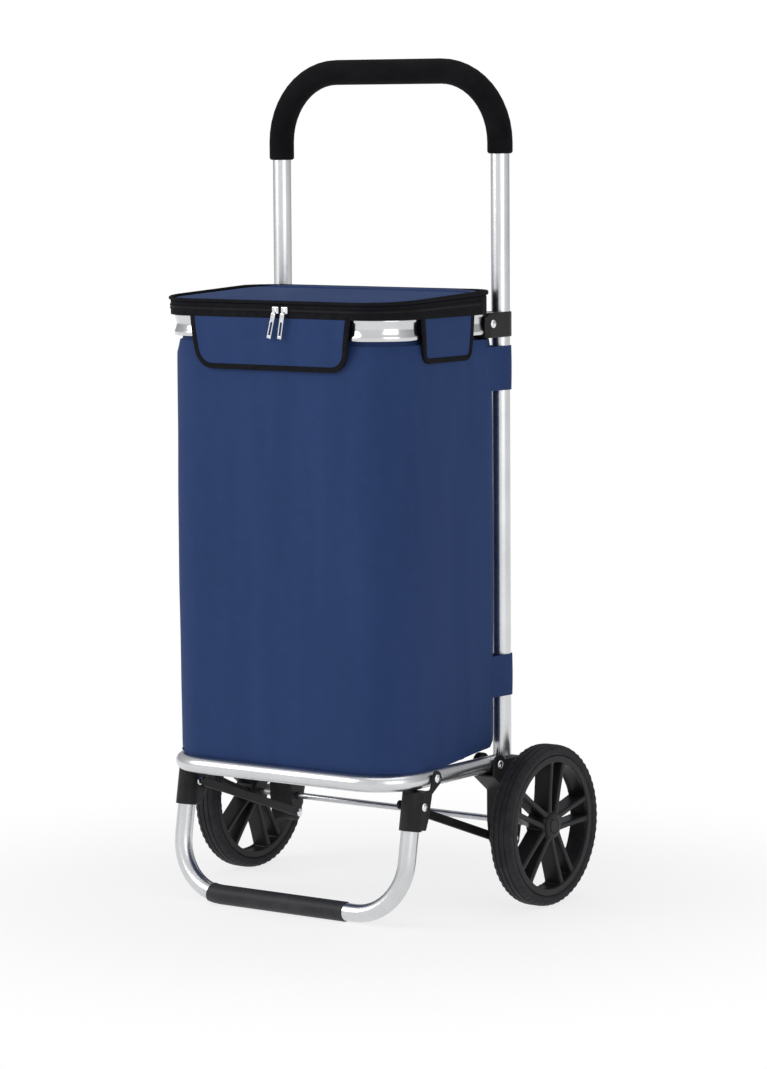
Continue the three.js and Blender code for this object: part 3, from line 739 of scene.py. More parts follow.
# ---------- axle and wheels ----------
def axle_rod():
    at = Extent("axle")
    end = at.x1
    profile = [(0, -end), (AXLE_RADIUS - 0.6, -end), (AXLE_RADIUS, -end + 0.6)]
    profile += [(radius, -x) for radius, x in reversed(profile)]
    show("axle_rod", turned(profile, at.y, at.z, 32), STEEL, "rear_frame", ["axle"])
    for side, sign in SIDES:
        clip = Extent(f"axle_clip_{side}")
        ring_profile = [(AXLE_RADIUS + 0.1, clip.x0), (7.2, clip.x0), (7.5, clip.x0 + 0.4),
                        (7.5, clip.x1 - 0.4), (7.2, clip.x1), (AXLE_RADIUS + 0.1, clip.x1)]
        name = f"clip_{side}"
        made = turned(ring_profile, clip.y, clip.z, 32, closed=True)
        show(name, made, STEEL, "rear_frame", [f"axle_clip_{side}"])


def spoke(angle, side, y, z, middle):
    """One deep, slightly dished spoke of a V-shaped pair."""
    rings = []
    steps = 6
    for k in range(steps + 1):
        share = k / steps
        dish = math.sin(math.pi * share)
        reach = HUB_RADIUS - 6 + share * (RIM_INNER - HUB_RADIUS + 10)
        aside = side * (5.2 + 0.098 * reach)
        ring_points = []
        for along_x, across in rounded_box(24 - 1.6 * dish, 7.4 - dish, 1.4, 3):
            local_z = aside + across
            ring_points.append(Vector((middle + along_x,
                                       y + reach * math.cos(angle) - local_z * math.sin(angle),
                                       z + reach * math.sin(angle) + local_z * math.cos(angle))))
        rings.append(ring_points)
    return Surface().solid(rings)


def wheel_parts(y, z, middle):
    seat = TYRE_INNER - 0.3
    rim = [(RIM_INNER - 0.5, 13), (RIM_INNER - 1.2, 11.5), (RIM_INNER + 1, 8), (RIM_INNER + 1, -8),
           (RIM_INNER - 0.5, -13), (seat, -13), (seat, 13)]
    hub = [(0, -16), (HUB_RADIUS - 2, -16), (HUB_RADIUS, -14), (HUB_RADIUS, 8), (HUB_RADIUS - 1.5, 11),
           (HUB_RADIUS - 3, 12), (0, 12)]
    parts = [turned([(r, middle + x) for r, x in rim], y, z, 120, closed=True),
             turned([(r, middle + x) for r, x in hub], y, z, 64)]
    for pair in range(SPOKE_PAIRS):
        angle = SPOKE_PHASE + math.tau * pair / SPOKE_PAIRS
        parts += [spoke(angle, side, y, z, middle) for side in (-1, 1)]
    return parts


def tyre_surface(y, z, middle):
    """Tread with three grooves and short ribs round each shoulder."""
    half = [(TYRE_INNER, 12.5), (TYRE_INNER + 1.5, 13.8), (86.5, 14.4), (88.5, 14.4), (90.5, 14.9),
            (92.5, 14.6), (94.2, 13.2), (95.3, 10.8), (95.8, 8.0), (94.9, 7.5), (94.9, 6.5),
            (TYRE_RADIUS, 6.0), (TYRE_RADIUS, 1.0), (94.9, 0.6)]
    profile = half + [(radius, -across) for radius, across in reversed(half)]
    ribs, per_rib = 60, 4
    surface = Surface()
    rows = []
    for k in range(ribs * per_rib):
        angle = math.tau * k / (ribs * per_rib)
        raised = k % per_rib < 2
        row = []
        for radius, across in profile:
            shoulder = 91.0 < radius < 95.4 and abs(across) > 9
            reach = radius - (0.0 if raised or not shoulder else 0.9)
            row.append(Vector((middle + across, y + reach * math.cos(angle), z + reach * math.sin(angle))))
        rows.append(row)
    surface.grid(rows, wrap_rows=True, wrap_columns=True)
    return surface


def wheels():
    middle, y, z = wheel.x, wheel.y, wheel.z
    bore = rod(AXLE_RADIUS + 0.2, (middle - 30, y, z), (middle + 30, y, z))
    clip_pocket = rod(9, (middle + 2, y, z), (middle + 30, y, z))
    right = moulded("rim", wheel_parts(y, z, middle), [bore, clip_pocket], voxel=1.0, keep=0.4, rounds=2)
    left = right.copy()
    left.transform(Matrix.Scale(-1, 4, Vector((1, 0, 0))))
    left.flip_normals()
    tread = tyre_surface(y, z, middle)
    cap = Extent("hub_cap_right")
    disc = [(0, 0), (15.2, 0), (15.5, 0.3), (15.2, 1.0), (14.0, 1.7), (9.6, 2.0), (9.0, 1.5), (8.2, 1.5),
            (7.6, cap.x1 - cap.x0), (0, cap.x1 - cap.x0)]
    dome = turned([(r, cap.x0 + x) for r, x in disc], y, z, 56)
    sides = (("left", left, tread.mirrored(), dome.mirrored()), ("right", right, tread, dome))
    for side, rim, tyre, hub in sides:
        body = f"wheel_{side}"
        show(f"spoked_rim_{side}", rim, PLASTIC, body, [f"wheel_rim_{side}"], sharp=60)
        show(f"tread_{side}", tyre, RUBBER, body, [f"tyre_{side}"], sharp=30)
        show(f"cap_{side}", hub, PLASTIC, body, [f"hub_cap_{side}"], sharp=40)


# ---------- platform ----------
def plan_run(half, front, rear, z, bend, step=15.0):
    """The U a bent part makes in plan: forward along the left, across the front, back along the right."""
    return Path([(-half, rear, z), (-half, front, z), (half, front, z), (half, rear, z)], bend, step)


def sheet(half, front, rear, corner, z0, z1, edge=1.0):
    """A flat panel with rounded corners and a rounded edge."""
    corners = [(-half, rear, z0), (-half, front, z0), (half, front, z0), (half, rear, z0)]
    outline = Path(corners, corner, 20, closed=True)
    middle = (front + rear) / 2
    rows = []
    levels = [(0.55, z0), (1 - 3 / half, z0), (1 - 0.4 / half, z0), (1, z0 + edge * 0.5),
              (1, z1 - edge * 0.5), (1 - 0.4 / half, z1), (1 - 3 / half, z1), (0.55, z1)]
    for share, z in levels:
        rows.append([Vector((p.x * share, middle + (p.y - middle) * share, z)) for p in outline.points])
    return Surface().solid(rows)


def platform_parts():
    run = plan_run(PLATFORM_HALF, PLATFORM_FRONT, platform.y1, platform.z, PLATFORM_BEND)
    bar = hollow_tube(run, UP, PLATFORM_RADIUS, PLATFORM_RADIUS - 1.2)
    show("platform_bar", bar, ALUMINIUM, "platform", ["platform_tube"])
    floor = Extent("bag_floor")
    panel = sheet(floor.x1, floor.y0, floor.y1, 40, floor.z0, floor.z1)
    show("floor_cloth", panel, BLUE, "platform", ["bag_floor"])
    base = Extent("base_board")
    plate = sheet(base.x1, base.y0, base.y1, 36, base.z0, base.z1)
    show("floor_board", plate, BOARD, "platform", ["base_board"])


# ---------- foot stand ----------
def leg_y(z):
    return FOOT_FRONT + (z - SLEEVE_RADIUS) * FOOT_LEAN


def foot_parts():
    corners = [(-FOOT_HALF, leg_y(FOOT_TOP), FOOT_TOP), (-FOOT_HALF, FOOT_FRONT, SLEEVE_RADIUS),
               (FOOT_HALF, FOOT_FRONT, SLEEVE_RADIUS), (FOOT_HALF, leg_y(FOOT_TOP), FOOT_TOP)]
    lean = Vector((0, FOOT_LEAN, 1)).normalized()
    out_of_plane = Vector((1, 0, 0)).cross(lean)
    run = Path(corners, FOOT_BEND)
    bar = hollow_tube(run, out_of_plane, FOOT_RADIUS, FOOT_RADIUS - 1.2)
    show("foot_bar", bar, ALUMINIUM, "foot_stand", ["foot_tube"])
    middle = run.reach[-1] / 2
    covered = stretch_of(run, middle + sleeve.x0, middle + sleeve.x1)
    cover = hollow_tube(covered, out_of_plane, SLEEVE_RADIUS, FOOT_RADIUS + 0.1, lip=1.4, steps=4)
    show("foot_cover", cover, SLEEVE, "foot_stand", ["foot_sleeve"])


def foot_sockets():
    """A collar round each leg, with a web back to the ears that grip the platform tube."""
    pivot_y, pivot_z = FOOT_PIVOT
    low, high = COLLAR_BOTTOM, COLLAR_TOP
    outline = [(leg_y(low), low + 2), (leg_y(high) - 1, high), (pivot_y - 12, high + 1.5)]
    outline += arc(pivot_y, pivot_z, 9, 126, -52, 14)
    outline += [(-170, 153), (-173.5, 140), (-176, 128), (-183, low)]
    half_width = 14.25
    for side, sign in SIDES:
        node = f"foot_socket_{side}"
        at = Extent(node)
        middle = sign * FOOT_HALF
        collar = rod(COLLAR_RADIUS, (middle, leg_y(low), low), (middle, leg_y(high), high), 64)
        web = prism(outline, at.x - half_width, at.x + half_width)
        slot = sorted((sign * (PLATFORM_HALF - PLATFORM_RADIUS - 1.6),
                       sign * (PLATFORM_HALF + PLATFORM_RADIUS + 0.35)))
        cuts = [brick(*slot, -175, -120, 90, 200),
                brick(*slot, -250, -170, pivot_z - 12.4, 200),
                rod(FOOT_RADIUS + 0.2, (middle, leg_y(80), 80), (middle, leg_y(151), 151), 48)]
        shape = moulded(node, [collar, web], cuts, voxel=0.8, keep=0.35, rounds=3)
        show(f"{node}_moulding", shape, PLASTIC, "foot_stand", [node], sharp=60)


def fold_links():
    """Flat bars with rounded ends and rolled edges."""
    for side, _ in SIDES:
        node = f"fold_link_{side}"
        at = Extent(node)
        start, end = Vector((at.x, *LINK_FRONT_PIVOT)), Vector((at.x, *LINK_REAR_PIVOT))
        way = (end - start).normalized()
        up = Vector((1, 0, 0)).cross(way)
        outline = []
        for centre, turn in ((start, math.pi / 2), (end, -math.pi / 2)):
            for k in range(17):
                angle = turn + math.pi * k / 16
                outline.append((centre, way * math.cos(angle) + up * math.sin(angle)))
        thick, edge = (at.x1 - at.x0) / 2, 0.7
        face = [(3, -thick), (edge, -thick), (0, edge - thick)]
        rows = []
        for inset, level in face + [(inset, -level) for inset, level in reversed(face)]:
            reach, shift = LINK_HALF_HEIGHT - inset, Vector((level, 0, 0))
            rows.append([centre + outward * reach + shift for centre, outward in outline])
        show(f"link_bar_{side}", Surface().solid(rows), PLASTIC, f"link_{side}", [node])


# ---------- top ring ----------
def ring_section():
    """The extrusion's section: a lip above and below a hollow waist. Outward is positive."""
    half = (ring.z1 - ring.z0) / 2
    shares = [k / 12 for k in range(13)]
    waist = [(-2.4 * math.sin(math.pi * s) ** 0.8, half - 4 - (2 * half - 9) * s) for s in shares]
    face = [(-1.2, half), (-0.4, half - 0.3), (0, half - 1.2)] + waist
    face += [(0, -half + 4.2), (0, -half + 1.2), (-0.4, -half + 0.3), (-1.2, -half)]
    inside = [(-RING_DEPTH, -half), (-RING_DEPTH, -half + 2), (-4.4, -half + 3), (-4.4, half - 3),
              (-RING_DEPTH, half - 2), (-RING_DEPTH, half)]
    return face + inside


def top_ring():
    run = plan_run(ring.x1, ring.y0, ring.y1, ring.z, RING_BEND)
    surface = sweep(Surface(), run, ring_section())
    show("ring_extrusion", surface, RING_METAL, "ring", ["top_ring"], sharp=50)


# ---------- the bag ----------
WALL = 1.1
SPLIT = -120
SPLIT_TONGUE = 20
BAG_HALF = side_wall.x1 + 0.3
BAG_FRONT = front_wall.y0 - 0.8
BAG_BACK = back_wall.y1
BAG_TOP = front_wall.z1
BAG_BOTTOM = platform.z1 - 1.8
BOTTOM_RISE = 12


def hem_height(y):
    """The walls' lower edge, on the platform tube in front and drawn up towards the rear tubes."""
    return BAG_BOTTOM + BOTTOM_RISE * smoothstep((y + 165) / 150)


def cloth_push(p):
    """How far the bag's cloth stands out from its flat pattern at a point."""
    bottom = hem_height(p.y)
    height = (p.z - bottom) / (BAG_TOP - bottom)
    belly = 0.9 * math.sin(math.pi * height)
    folds = noise.noise(Vector((p.x * 0.018, p.y * 0.018, p.z * 0.0035)))
    creases = noise.noise(Vector((p.x * 0.05, p.y * 0.05, p.z * 0.012 + 7)))
    near_top = smoothstep((height - 0.72) / 0.28)
    gather = noise.noise(Vector((p.x * 0.045, p.y * 0.045, 3 + p.z * 0.004))) * 1.5 * near_top
    free = smoothstep(height / 0.06) * smoothstep((1 - height) / 0.04)
    tuck_top = -3.2 * smoothstep((p.z - (BAG_TOP - 16)) / 16)
    tuck_bottom = -3.4 * smoothstep((bottom + 10 - p.z) / 12)
    return (belly + 1.1 * folds + 0.5 * creases + gather) * free + tuck_top + tuck_bottom


def wall_shell(run, tongue=None):
    """The bag's cloth along a run, drawn in by the tongue where it slides inside the other half."""
    levels = 64
    outer, inner = [], []
    for k in range(levels + 1):
        outside, inside = [], []
        for point, way in zip(run.points, run.ways):
            out = way.cross(UP).normalized()
            bottom = hem_height(point.y)
            at = Vector((point.x, point.y, bottom + (BAG_TOP - bottom) * k / levels))
            push = cloth_push(at)
            if tongue is not None and point.y > tongue + 0.01:
                push -= WALL + 0.5
            outside.append(at + out * push)
            inside.append(at + out * (push - WALL))
        outer.append(outside)
        inner.append(inside)
    return Surface().thick_cloth(outer, inner)


def bag_walls():
    front_run = Path([(-BAG_HALF, SPLIT, 0), (-BAG_HALF, BAG_FRONT, 0), (BAG_HALF, BAG_FRONT, 0),
                      (BAG_HALF, SPLIT, 0)], 55, 7)
    tongue = [front_run.points[-1] + Vector((0, 0.3 + SPLIT_TONGUE * k / 3, 0)) for k in range(4)]
    for point in tongue:
        front_run.points.append(point)
        front_run.ways.append(BACK)
        front_run.points.insert(0, Vector((-point.x, point.y, 0)))
        front_run.ways.insert(0, -BACK)
    front = wall_shell(front_run, SPLIT)
    piece = show("bag_front_half", front, BLUE, "front_wall", ["bag_front"], sharp=50)
    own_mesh(piece)

    rear_run = Path([(BAG_HALF, SPLIT, 0), (BAG_HALF, BAG_BACK, 0), (-BAG_HALF, BAG_BACK, 0),
                     (-BAG_HALF, SPLIT, 0)], 28, 7)
    nodes = ["bag_back", "bag_side_left", "bag_side_right"]
    piece = show("bag_rear_half", wall_shell(rear_run), BLUE, "rear_frame", nodes, sharp=50)
    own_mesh(piece)


def ribbon(low, high, z0, z1, thickness, steps=6):
    """The outer and inner rows of a band of cloth between two runs that have matching points."""
    outer, inner = [], []
    for k in range(steps + 1):
        share = k / steps
        outside, inside = [], []
        for a, b, way in zip(low.points, high.points, low.ways):
            at = a.lerp(b, smoothstep(share))
            at.z = z0 + (z1 - z0) * share
            outside.append(at)
            inside.append(at - way.cross(UP).normalized() * thickness)
        outer.append(outside)
        inner.append(inside)
    return outer, inner


def rounded_outline(corners, radii):
    """A closed run whose corners have their own radii."""
    run = Path(corners, min(radii), 12, closed=True)
    run.points = mixed_corners(corners, radii)
    count = len(run.points)
    run.ways = [(run.points[(i + 1) % count] - run.points[i - 1]).normalized() for i in range(count)]
    return run


def bag_mouth():
    """The hem inside the ring, and the cloth that joins it to the walls."""
    half = ring.x1 - RING_DEPTH - 0.6
    front = ring.y0 + RING_DEPTH + 0.6
    neck, shoulder = 143.4, -70
    hem_low = ring.z0 + 0.8
    outline = [(-half, shoulder, 0), (-half, front, 0), (half, front, 0), (half, shoulder, 0),
               (neck, shoulder + 15, 0), (neck, -20, 0), (-neck, -20, 0), (-neck, shoulder + 15, 0)]
    run = rounded_outline(outline, (8, 42, 42, 8, 8, 8, 8, 8))
    outer, inner = ribbon(run, run, hem_low, ring.z1 - 0.4, 1.6)
    hem = Surface()
    hem.grid(outer + inner[::-1], wrap_rows=True, wrap_columns=True)
    show("mouth_hem", hem, TAPE, "ring", ["bag_rim"], sharp=50)

    turn_back = -165
    low = plan_run(BAG_HALF - 2.6, BAG_FRONT + 3.4, turn_back, 0, 52)
    high = plan_run(half, front + 0.4, turn_back, 0, 42)
    low, high = matched(low, high)
    skirt = Surface().thick_cloth(*ribbon(low, high, BAG_TOP - 12, hem_low + 4, 1.0))
    piece = show("mouth_skirt_front", skirt, BLUE)
    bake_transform(piece)

    edge, start, drawn_in = BAG_HALF - 2.6, turn_back + 1, half - 15
    corners_low = [(edge, start, 0), (edge, -22, 0), (-edge, -22, 0), (-edge, start, 0)]
    corners_high = [(half, start, 0), (drawn_in, -21, 0), (-drawn_in, -21, 0), (-half, start, 0)]
    low, high = matched(Path(corners_low, 14), Path(corners_high, 14))
    skirt = Surface().thick_cloth(*ribbon(low, high, BAG_TOP - 10, hem_low + 4, 1.0))
    show("mouth_skirt_rear", skirt, BLUE, "ring")


def matched(low, high):
    """The same two runs with the same number of evenly spaced points."""
    count = 90
    for run in (low, high):
        spots = [run.at(run.reach[-1] * k / count) for k in range(count + 1)]
        run.points = [point for point, _ in spots]
        run.ways = [way for _, way in spots]
    return low, high


# ---------- lid ----------
LID_CORNER = 56
TAPE_HANG = 2.4
LID_FOOT = 703.5
LID_STRETCH = 0.40
REAR_CORNER = 40
LID_EDGE = 719.3
LID_CROWN = 3.0


def lid_lift(p):
    """The mouth grows taller towards the rear: its lower edge stays level and its top climbs."""
    share = min(1.0, max(0.0, (p.y - lower_tape.y0) / (lower_tape.y1 - lower_tape.y0)))
    return Vector((p.x, p.y, p.z + LID_STRETCH * share * max(0.0, p.z - LID_FOOT)))


def lid_piece(surface, name, material, body, nodes=(), sharp=50):
    """A lid part, raised towards the rear by lid_lift and put on show riding its body."""
    piece = show(name, surface.bend(lid_lift), material, body, nodes, sharp)
    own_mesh(piece)


def zip_band(name, at, half, front, rear, body, node):
    """One zip tape standing on edge, with a raised bead next to the teeth."""
    lower = at.z < (lower_tape.z1 + upper_tape.z0) / 2
    bottom = at.z0 - TAPE_HANG if lower else at.z0
    section = rounded_box(2.2, at.z1 - bottom, 0.7, 3)
    run = plan_run(half - 1.4, front + 1.4, rear, (at.z1 + bottom) / 2, LID_CORNER)
    surface = sweep(Surface(), run, section)
    bead = at.z1 - 1.6 if lower else at.z0 + 1.6
    cord = plan_run(half - 0.5, front + 0.5, rear, bead, LID_CORNER)
    sweep(surface, cord, circle(0.9, 10))
    lid_piece(surface, name, TAPE, body, [node])


def zip_teeth(name, z, half, front, rear, body, phase):
    """One row of teeth. Phase sets the upper row between the lower row's teeth."""
    pitch, length, height = 2.2, 1.1, 1.5
    run = plan_run(half - 0.9, front + 0.9, rear, z, LID_CORNER)
    surface = Surface()
    distance = 2 + phase * pitch
    while distance < run.reach[-1] - 2:
        point, way = run.at(distance)
        out = way.cross(UP).normalized()
        corner = point - way * length / 2 - out * 0.9 - UP * height / 2
        surface.block(corner, way * length, out * 1.9, UP * height)
        distance += pitch
    lid_piece(surface, name, NYLON, body, sharp=30)


def lid_parts():
    half, front = lower_tape.x1, lower_tape.y0
    rear = lower_tape.y1
    zip_band("zip_lower", lower_tape, half, front, rear, "ring", "zip_tape_lower")
    zip_band("zip_upper", upper_tape, half, front, rear, "lid", "zip_tape_upper")
    gap = (lower_tape.z1 + upper_tape.z0) / 2
    zip_teeth("zip_teeth_lower", gap - 0.55, half, front, rear, "ring", 0.0)
    zip_teeth("zip_teeth_upper", gap + 0.55, half, front, rear, "lid", 0.5)

    cord = plan_run(piping.x1 - 2, piping.y0 + 2, rear, piping.z, LID_CORNER)
    tape = sweep(Surface(), cord, circle(2.0, 16))
    tongue = plan_run(piping.x1 - 3.6, piping.y0 + 3.6, rear, piping.z - 1.2, LID_CORNER)
    sweep(tape, tongue, rounded_box(4, 1.2, 0.5, 2))
    lid_piece(tape, "piping_cord", TAPE, "lid", ["lid_piping"])
    lid_panel()
    rear_cover()


def crowned(outline, z_edge, z_low, crown, steps=14):
    """A padded panel: a rounded edge rising to a soft crown in the middle."""
    middle_y = (min(p.y for p in outline) + max(p.y for p in outline)) / 2
    rows = []
    for share in (0.3, 0.7, 0.95, 0.99):
        rows.append([Vector((p.x * share, middle_y + (p.y - middle_y) * share, z_low)) for p in outline])
    rows.append([Vector((p.x, p.y, z_low + 0.8)) for p in outline])
    rows.append([Vector((p.x, p.y, z_edge - 0.8)) for p in outline])
    for k in range(1, steps + 1):
        share = 1 - 0.97 * (k / steps) ** 1.7
        row = []
        for p in outline:
            x, y = p.x * share, middle_y + (p.y - middle_y) * share
            rise = crown * (1 - share ** 10)
            wave = 0.5 * noise.noise(Vector((x * 0.02, y * 0.03, 5))) * (1 - share ** 6)
            row.append(Vector((x, y, z_edge + rise + wave)))
        rows.append(row)
    return Surface().solid(rows)


def lid_panel():
    half, front, rear = lid.x1, lid.y0, lid.y1
    corners = [(-half, rear, 0), (-half, front, 0), (half, front, 0), (half, rear, 0)]
    outline = mixed_corners(corners, (3, LID_CORNER - 4, LID_CORNER - 4, 3))
    surface = crowned(outline, LID_EDGE, lid.z0, LID_CROWN)
    lid_piece(surface, "lid_top", BLUE, "lid", ["lid_panel"], sharp=60)


def mixed_corners(corners, radii, step=12):
    """Points round a closed outline whose corners have their own radii."""
    corners = [Vector(corner) for corner in corners]
    points = []
    count = len(corners)
    for i, radius in enumerate(radii):
        before = (corners[i] - corners[i - 1]).normalized()
        after = (corners[(i + 1) % count] - corners[i]).normalized()
        reach = radius + 0.5
        piece = Path([corners[i] - before * reach, corners[i], corners[i] + after * reach], radius, 50)
        if points:
            gap = (piece.points[0] - points[-1]).length
            pieces = max(1, round(gap / step))
            points += [points[-1].lerp(piece.points[0], k / pieces) for k in range(1, pieces)]
        points += piece.points
    gap = (points[0] - points[-1]).length
    pieces = max(1, round(gap / step))
    points += [points[-1].lerp(points[0], k / pieces) for k in range(1, pieces)]
    return points


def rear_cover():
    """The fixed strip behind the lid: a blue top, and the black band and piping round its corners."""
    half, front, rear = rear_strip.x1, rear_strip.y0, rear_strip.y1 - 3
    corners = [(3 - half, rear - 3, 0), (3 - half, front, 0), (half - 3, front, 0), (half - 3, rear - 3, 0)]
    outline = mixed_corners(corners, (REAR_CORNER - 3, 1, 1, REAR_CORNER - 3), step=4)
    top = crowned(outline, LID_EDGE, LID_EDGE - 3.5, LID_CROWN, steps=8)
    name = "rear_cover_top"
    blend_rear(show(name, top.bend(lid_lift), BLUE, stands_for=["lid_rear_strip"], sharp=60))

    def round_the_back(outside, z):
        edge = half + outside
        back = rear + outside
        return Path([(edge, front, z), (edge, back, z), (-edge, back, z), (-edge, front, z)], REAR_CORNER, 4)

    bottom, top_edge = lower_tape.z0 - TAPE_HANG, upper_tape.z1
    wall = rounded_box(2.2, top_edge - bottom, 0.8, 3)
    band = sweep(Surface(), round_the_back(-1.4, (bottom + top_edge) / 2), wall)
    sweep(band, round_the_back(piping.x1 - 2 - half, piping.z), circle(2.0, 16))
    name = "rear_cover_band"
    blend_rear(show(name, band.bend(lid_lift), TAPE, sharp=50))


def blend_rear(piece):
    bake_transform(piece)


# ---------- zip sliders ----------
def zip_sliders():
    for side, _ in SIDES:
        body = Extent(f"zip_slider_{side}")
        base = brick(body.x0, body.x1, body.y0 + 1.2, body.y1, body.z0 + 0.8, body.z1 - 0.8)
        deep, proud = body.y0 + 1.4, body.y0 + 0.2
        side_view = [(deep, body.z0 + 2), (proud, body.z0 + 3), (proud, body.z1 - 3), (deep, body.z1 - 2)]
        bridge = prism(side_view, body.x - 1.2, body.x + 1.2)
        shape = moulded(f"slider_{side}", [base, bridge], voxel=0.35, keep=0.5, rounds=4)
        show(f"slider_{side}_body", shape, CHROME, f"slider_{side}", [f"zip_slider_{side}"], sharp=60)
        node = f"zip_pull_{side}"
        shape = moulded(node, [node], voxel=0.35, keep=0.5, rounds=4)
        show(f"pull_tab_{side}", shape, CHROME, f"pull_{side}", [node], sharp=60)


# ---------- flaps ----------
def flap_half(share, half_top, half_bottom, height, corner):
    """Half the flap's width at a share of the way down."""
    down = share * height
    straight = half_top + (half_bottom - half_top) * share
    into_corner = down - (height - corner)
    if into_corner <= 0:
        return straight
    return straight - corner + math.sqrt(max(0.0, corner ** 2 - into_corner ** 2))


def flap_surfaces(half_top, half_bottom, height, corner, thickness):
    """A flap's cloth and binding, drawn as (across, depth, height) with the top edge at zero."""
    fronts, backs = [], []
    down_steps, across_steps = 28, 36
    for i in range(down_steps + 1):
        share = i / down_steps
        half = flap_half(share, half_top - 2, half_bottom - 2, height - 2, corner)
        line = [half * (2 * j / across_steps - 1) for j in range(across_steps + 1)]
        z = -share * (height - 2)
        fronts.append([Vector((x, -thickness / 2, z)) for x in line])
        backs.append([Vector((x, thickness / 2, z)) for x in line])
    cloth = Surface().thick_cloth(fronts, backs)
    inset = 3.2
    outline = Path([(-half_top + inset, 0, 0), (-half_bottom + inset, 0, -height + inset),
                    (half_bottom - inset, 0, -height + inset), (half_top - inset, 0, 0)], corner - inset, 8)
    binding = sweep(Surface(), outline, rounded_box(2 * inset, thickness + 1.4, 0.9, 3), up=BACK)
    return cloth, binding


def front_flap():
    at = Extent("front_flap")
    height = at.z1 - at.z0
    cloth, binding = flap_surfaces(at.x1, at.x1 - 8, height, 24, 1.6)

    def hang(p):
        drop = -p.z / height
        lean = 2.6 * smoothstep((drop - 0.45) / 0.55) - 0.5 * math.sin(math.pi * min(1, drop * 2))
        ripple = 0.5 * noise.noise(Vector((p.x * 0.02, p.z * 0.03, 2))) * drop
        return Vector((p.x, at.y + p.y + lean + ripple, at.z1 + p.z))

    for name, part, material, nodes in (("front_flap_cloth", cloth, BLUE, ["front_flap"]),
                                        ("front_flap_binding", binding, TAPE, [])):
        piece = show(name, part.bend(hang), material, "flap_front", nodes, sharp=50)
        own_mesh(piece)


def side_flaps():
    for side, sign in SIDES:
        node = f"side_flap_{side}"
        at = Extent(node)
        height = at.z1 - at.z0
        half = (at.y1 - at.y0) / 2
        cloth, binding = flap_surfaces(half, half - 4.5, height, 12, 1.6)

        def hang(p):
            drop = -p.z / height
            lean = -1.2 * smoothstep((drop - 0.4) / 0.6)
            return Vector((at.x + sign * (lean - p.y), at.y + p.x, at.z1 + p.z))

        for name, part, material, nodes in ((f"side_flap_cloth_{side}", cloth, BLUE, [node]),
                                            (f"side_flap_binding_{side}", binding, TAPE, [])):
            piece = show(name, part.bend(hang), material, f"flap_{side}", nodes, sharp=50)
            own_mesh(piece)


# ---------- stage ----------
DIFFUSE_WORLD = 0.42
GLOSSY_WORLD = 0.9
FLOOR_GLOW = 0.78
BRIGHT_SIDE = (0.35, -0.9, 0.25)


def studio_world():
    """White to the camera; a soft gradient with dim sides to reflections, so that metal shows its shape."""
    world = bpy.data.worlds.new("studio")
    bpy.context.scene.world = world
    graph = Graph(world)
    graph.tree.nodes.clear()
    rays = graph.node("ShaderNodeLightPath").outputs
    ahead = graph.node("ShaderNodeTexCoord").outputs["Generated"]
    facing = graph.node("ShaderNodeVectorMath", {0: ahead}, {1: BRIGHT_SIDE}, operation="DOT_PRODUCT")
    share = graph.node("ShaderNodeMapRange", {"Value": facing.outputs["Value"]}, {"From Min": -1.0})
    tone = graph.colours(share.outputs[0], (0.0, (0.35, 0.36, 0.38)), (1.0, (1, 1, 1)))
    strength = graph.node("ShaderNodeMath", {0: rays["Is Diffuse Ray"]},
                          {1: DIFFUSE_WORLD - GLOSSY_WORLD, 2: GLOSSY_WORLD}, operation="MULTIPLY_ADD")
    soft = graph.node("ShaderNodeBackground", {"Color": tone, "Strength": strength.outputs[0]})
    white = graph.node("ShaderNodeBackground", values={"Color": (1, 1, 1, 1), "Strength": 1.0})
    seen = {0: rays["Is Camera Ray"], 1: soft.outputs[0], 2: white.outputs[0]}
    mixed = graph.node("ShaderNodeMixShader", seen)
    graph.node("ShaderNodeOutputWorld", {"Surface": mixed.outputs[0]})


def floor_material():
    """White floor that fades into the white background away from the trolley."""
    material = bpy.data.materials.new("studio_floor")
    graph = Graph(material)
    shader = graph.tree.nodes["Principled BSDF"]
    shader.inputs["Base Color"].default_value = (0.93, 0.93, 0.935, 1)
    shader.inputs["Roughness"].default_value = 0.6
    centre = graph.node("ShaderNodeTexCoord").outputs["Object"]
    distance = graph.node("ShaderNodeVectorMath", {0: centre}, operation="LENGTH")
    fade = graph.node("ShaderNodeMapRange", {"Value": distance.outputs["Value"]},
                      {"From Min": 0.25, "From Max": 0.8, "To Min": FLOOR_GLOW},
                      interpolation_type="SMOOTHSTEP")
    glow = graph.node("ShaderNodeEmission", values={"Color": (1, 1, 1, 1), "Strength": 1.0})
    mixed = graph.node("ShaderNodeMixShader",
                       {0: fade.outputs[0], 1: shader.outputs[0], 2: glow.outputs[0]})
    graph.tree.links.new(mixed.outputs[0], graph.tree.nodes["Material Output"].inputs["Surface"])
    return material


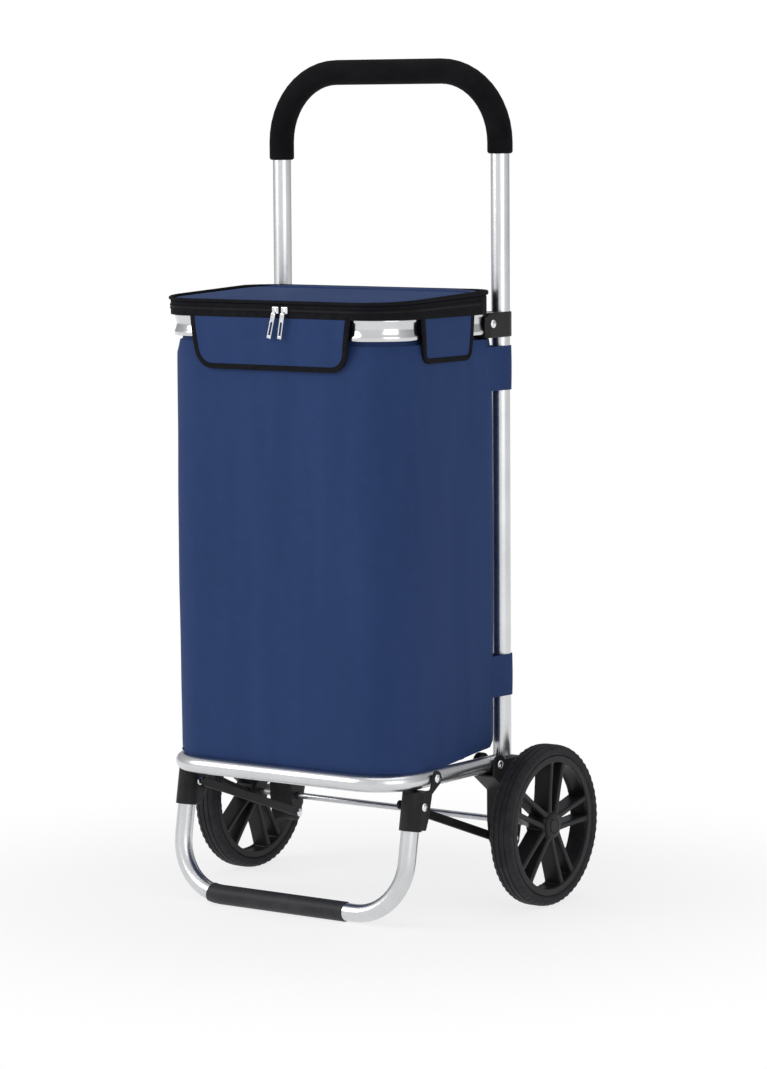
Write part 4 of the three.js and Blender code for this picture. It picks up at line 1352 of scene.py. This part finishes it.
def stage():
    mesh = bpy.data.meshes.new("floor")
    reach, below = 12.0, -0.0005
    corners = [(-reach, -reach, below), (reach, -reach, below), (reach, reach, below), (-reach, reach, below)]
    mesh.from_pydata(corners, [], [(0, 1, 2, 3)])
    mesh.materials.append(floor_material())
    floor = bpy.data.objects.new("floor", mesh)
    bpy.context.scene.collection.objects.link(floor)
    studio_world()
    area_light("key", (-1.5, -1.9, 1.6), 1.4, 28)
    area_light("fill", (2.0, -0.9, 1.1), 1.6, 9)
    area_light("top", (0.2, 0.2, 2.4), 1.8, 12)
    bpy.context.scene.view_settings.view_transform = "Standard"


def area_light(name, location, size, power):
    light = bpy.data.lights.new(name, "AREA")
    light.size = size
    light.energy = power
    lamp = bpy.data.objects.new(name, light)
    lamp.location = location
    aim = Vector((0, 0, 0.45)) - lamp.location
    lamp.rotation_euler = aim.to_track_quat("-Z", "Y").to_euler()
    bpy.context.scene.collection.objects.link(lamp)


def camera():
    azimuth, elevation, roll = math.radians(36.0), math.radians(6.06), math.radians(-0.39)
    distance, lens = 4.8122, 133.9
    target = Vector((-0.0116, REAR_PLANE, 0.4288))
    level = math.cos(elevation)
    back = Vector((math.sin(azimuth) * level, -math.cos(azimuth) * level, math.sin(elevation)))
    right = (-back).cross(UP).normalized()
    up = right.cross(-back)
    tilted_right = right * math.cos(roll) + up * math.sin(roll)
    tilted_up = up * math.cos(roll) - right * math.sin(roll)
    data = bpy.data.cameras.new("camera")
    data.lens = lens
    data.sensor_width = 36
    data.sensor_fit = "AUTO"
    eye = bpy.data.objects.new("camera", data)
    bpy.context.scene.collection.objects.link(eye)
    axes = Matrix((tilted_right, tilted_up, back)).transposed()
    eye.matrix_world = Matrix.Translation(target + back * distance) @ axes.to_4x4()
    bpy.context.scene.camera = eye


handle_frame()
bracket_pair("wheel_bracket", "rear_frame", 0.9)
bracket_pair("ring_bracket", "rear_frame", 0.7)
for stem, body in (("link_rear_rivet", "rear_frame"),
                   ("ring_rivet", "rear_frame"),
                   ("foot_rivet", "foot_stand"),
                   ("link_front_rivet", "foot_stand")):
    rivets(stem, body)
rivets("platform_rivet", "rear_frame", inner_head=False)
tube_loops()
axle_rod()
wheels()
platform_parts()
foot_parts()
foot_sockets()
fold_links()
top_ring()
bag_walls()
bag_mouth()
lid_parts()
zip_sliders()
front_flap()
side_flaps()
stage()
camera()
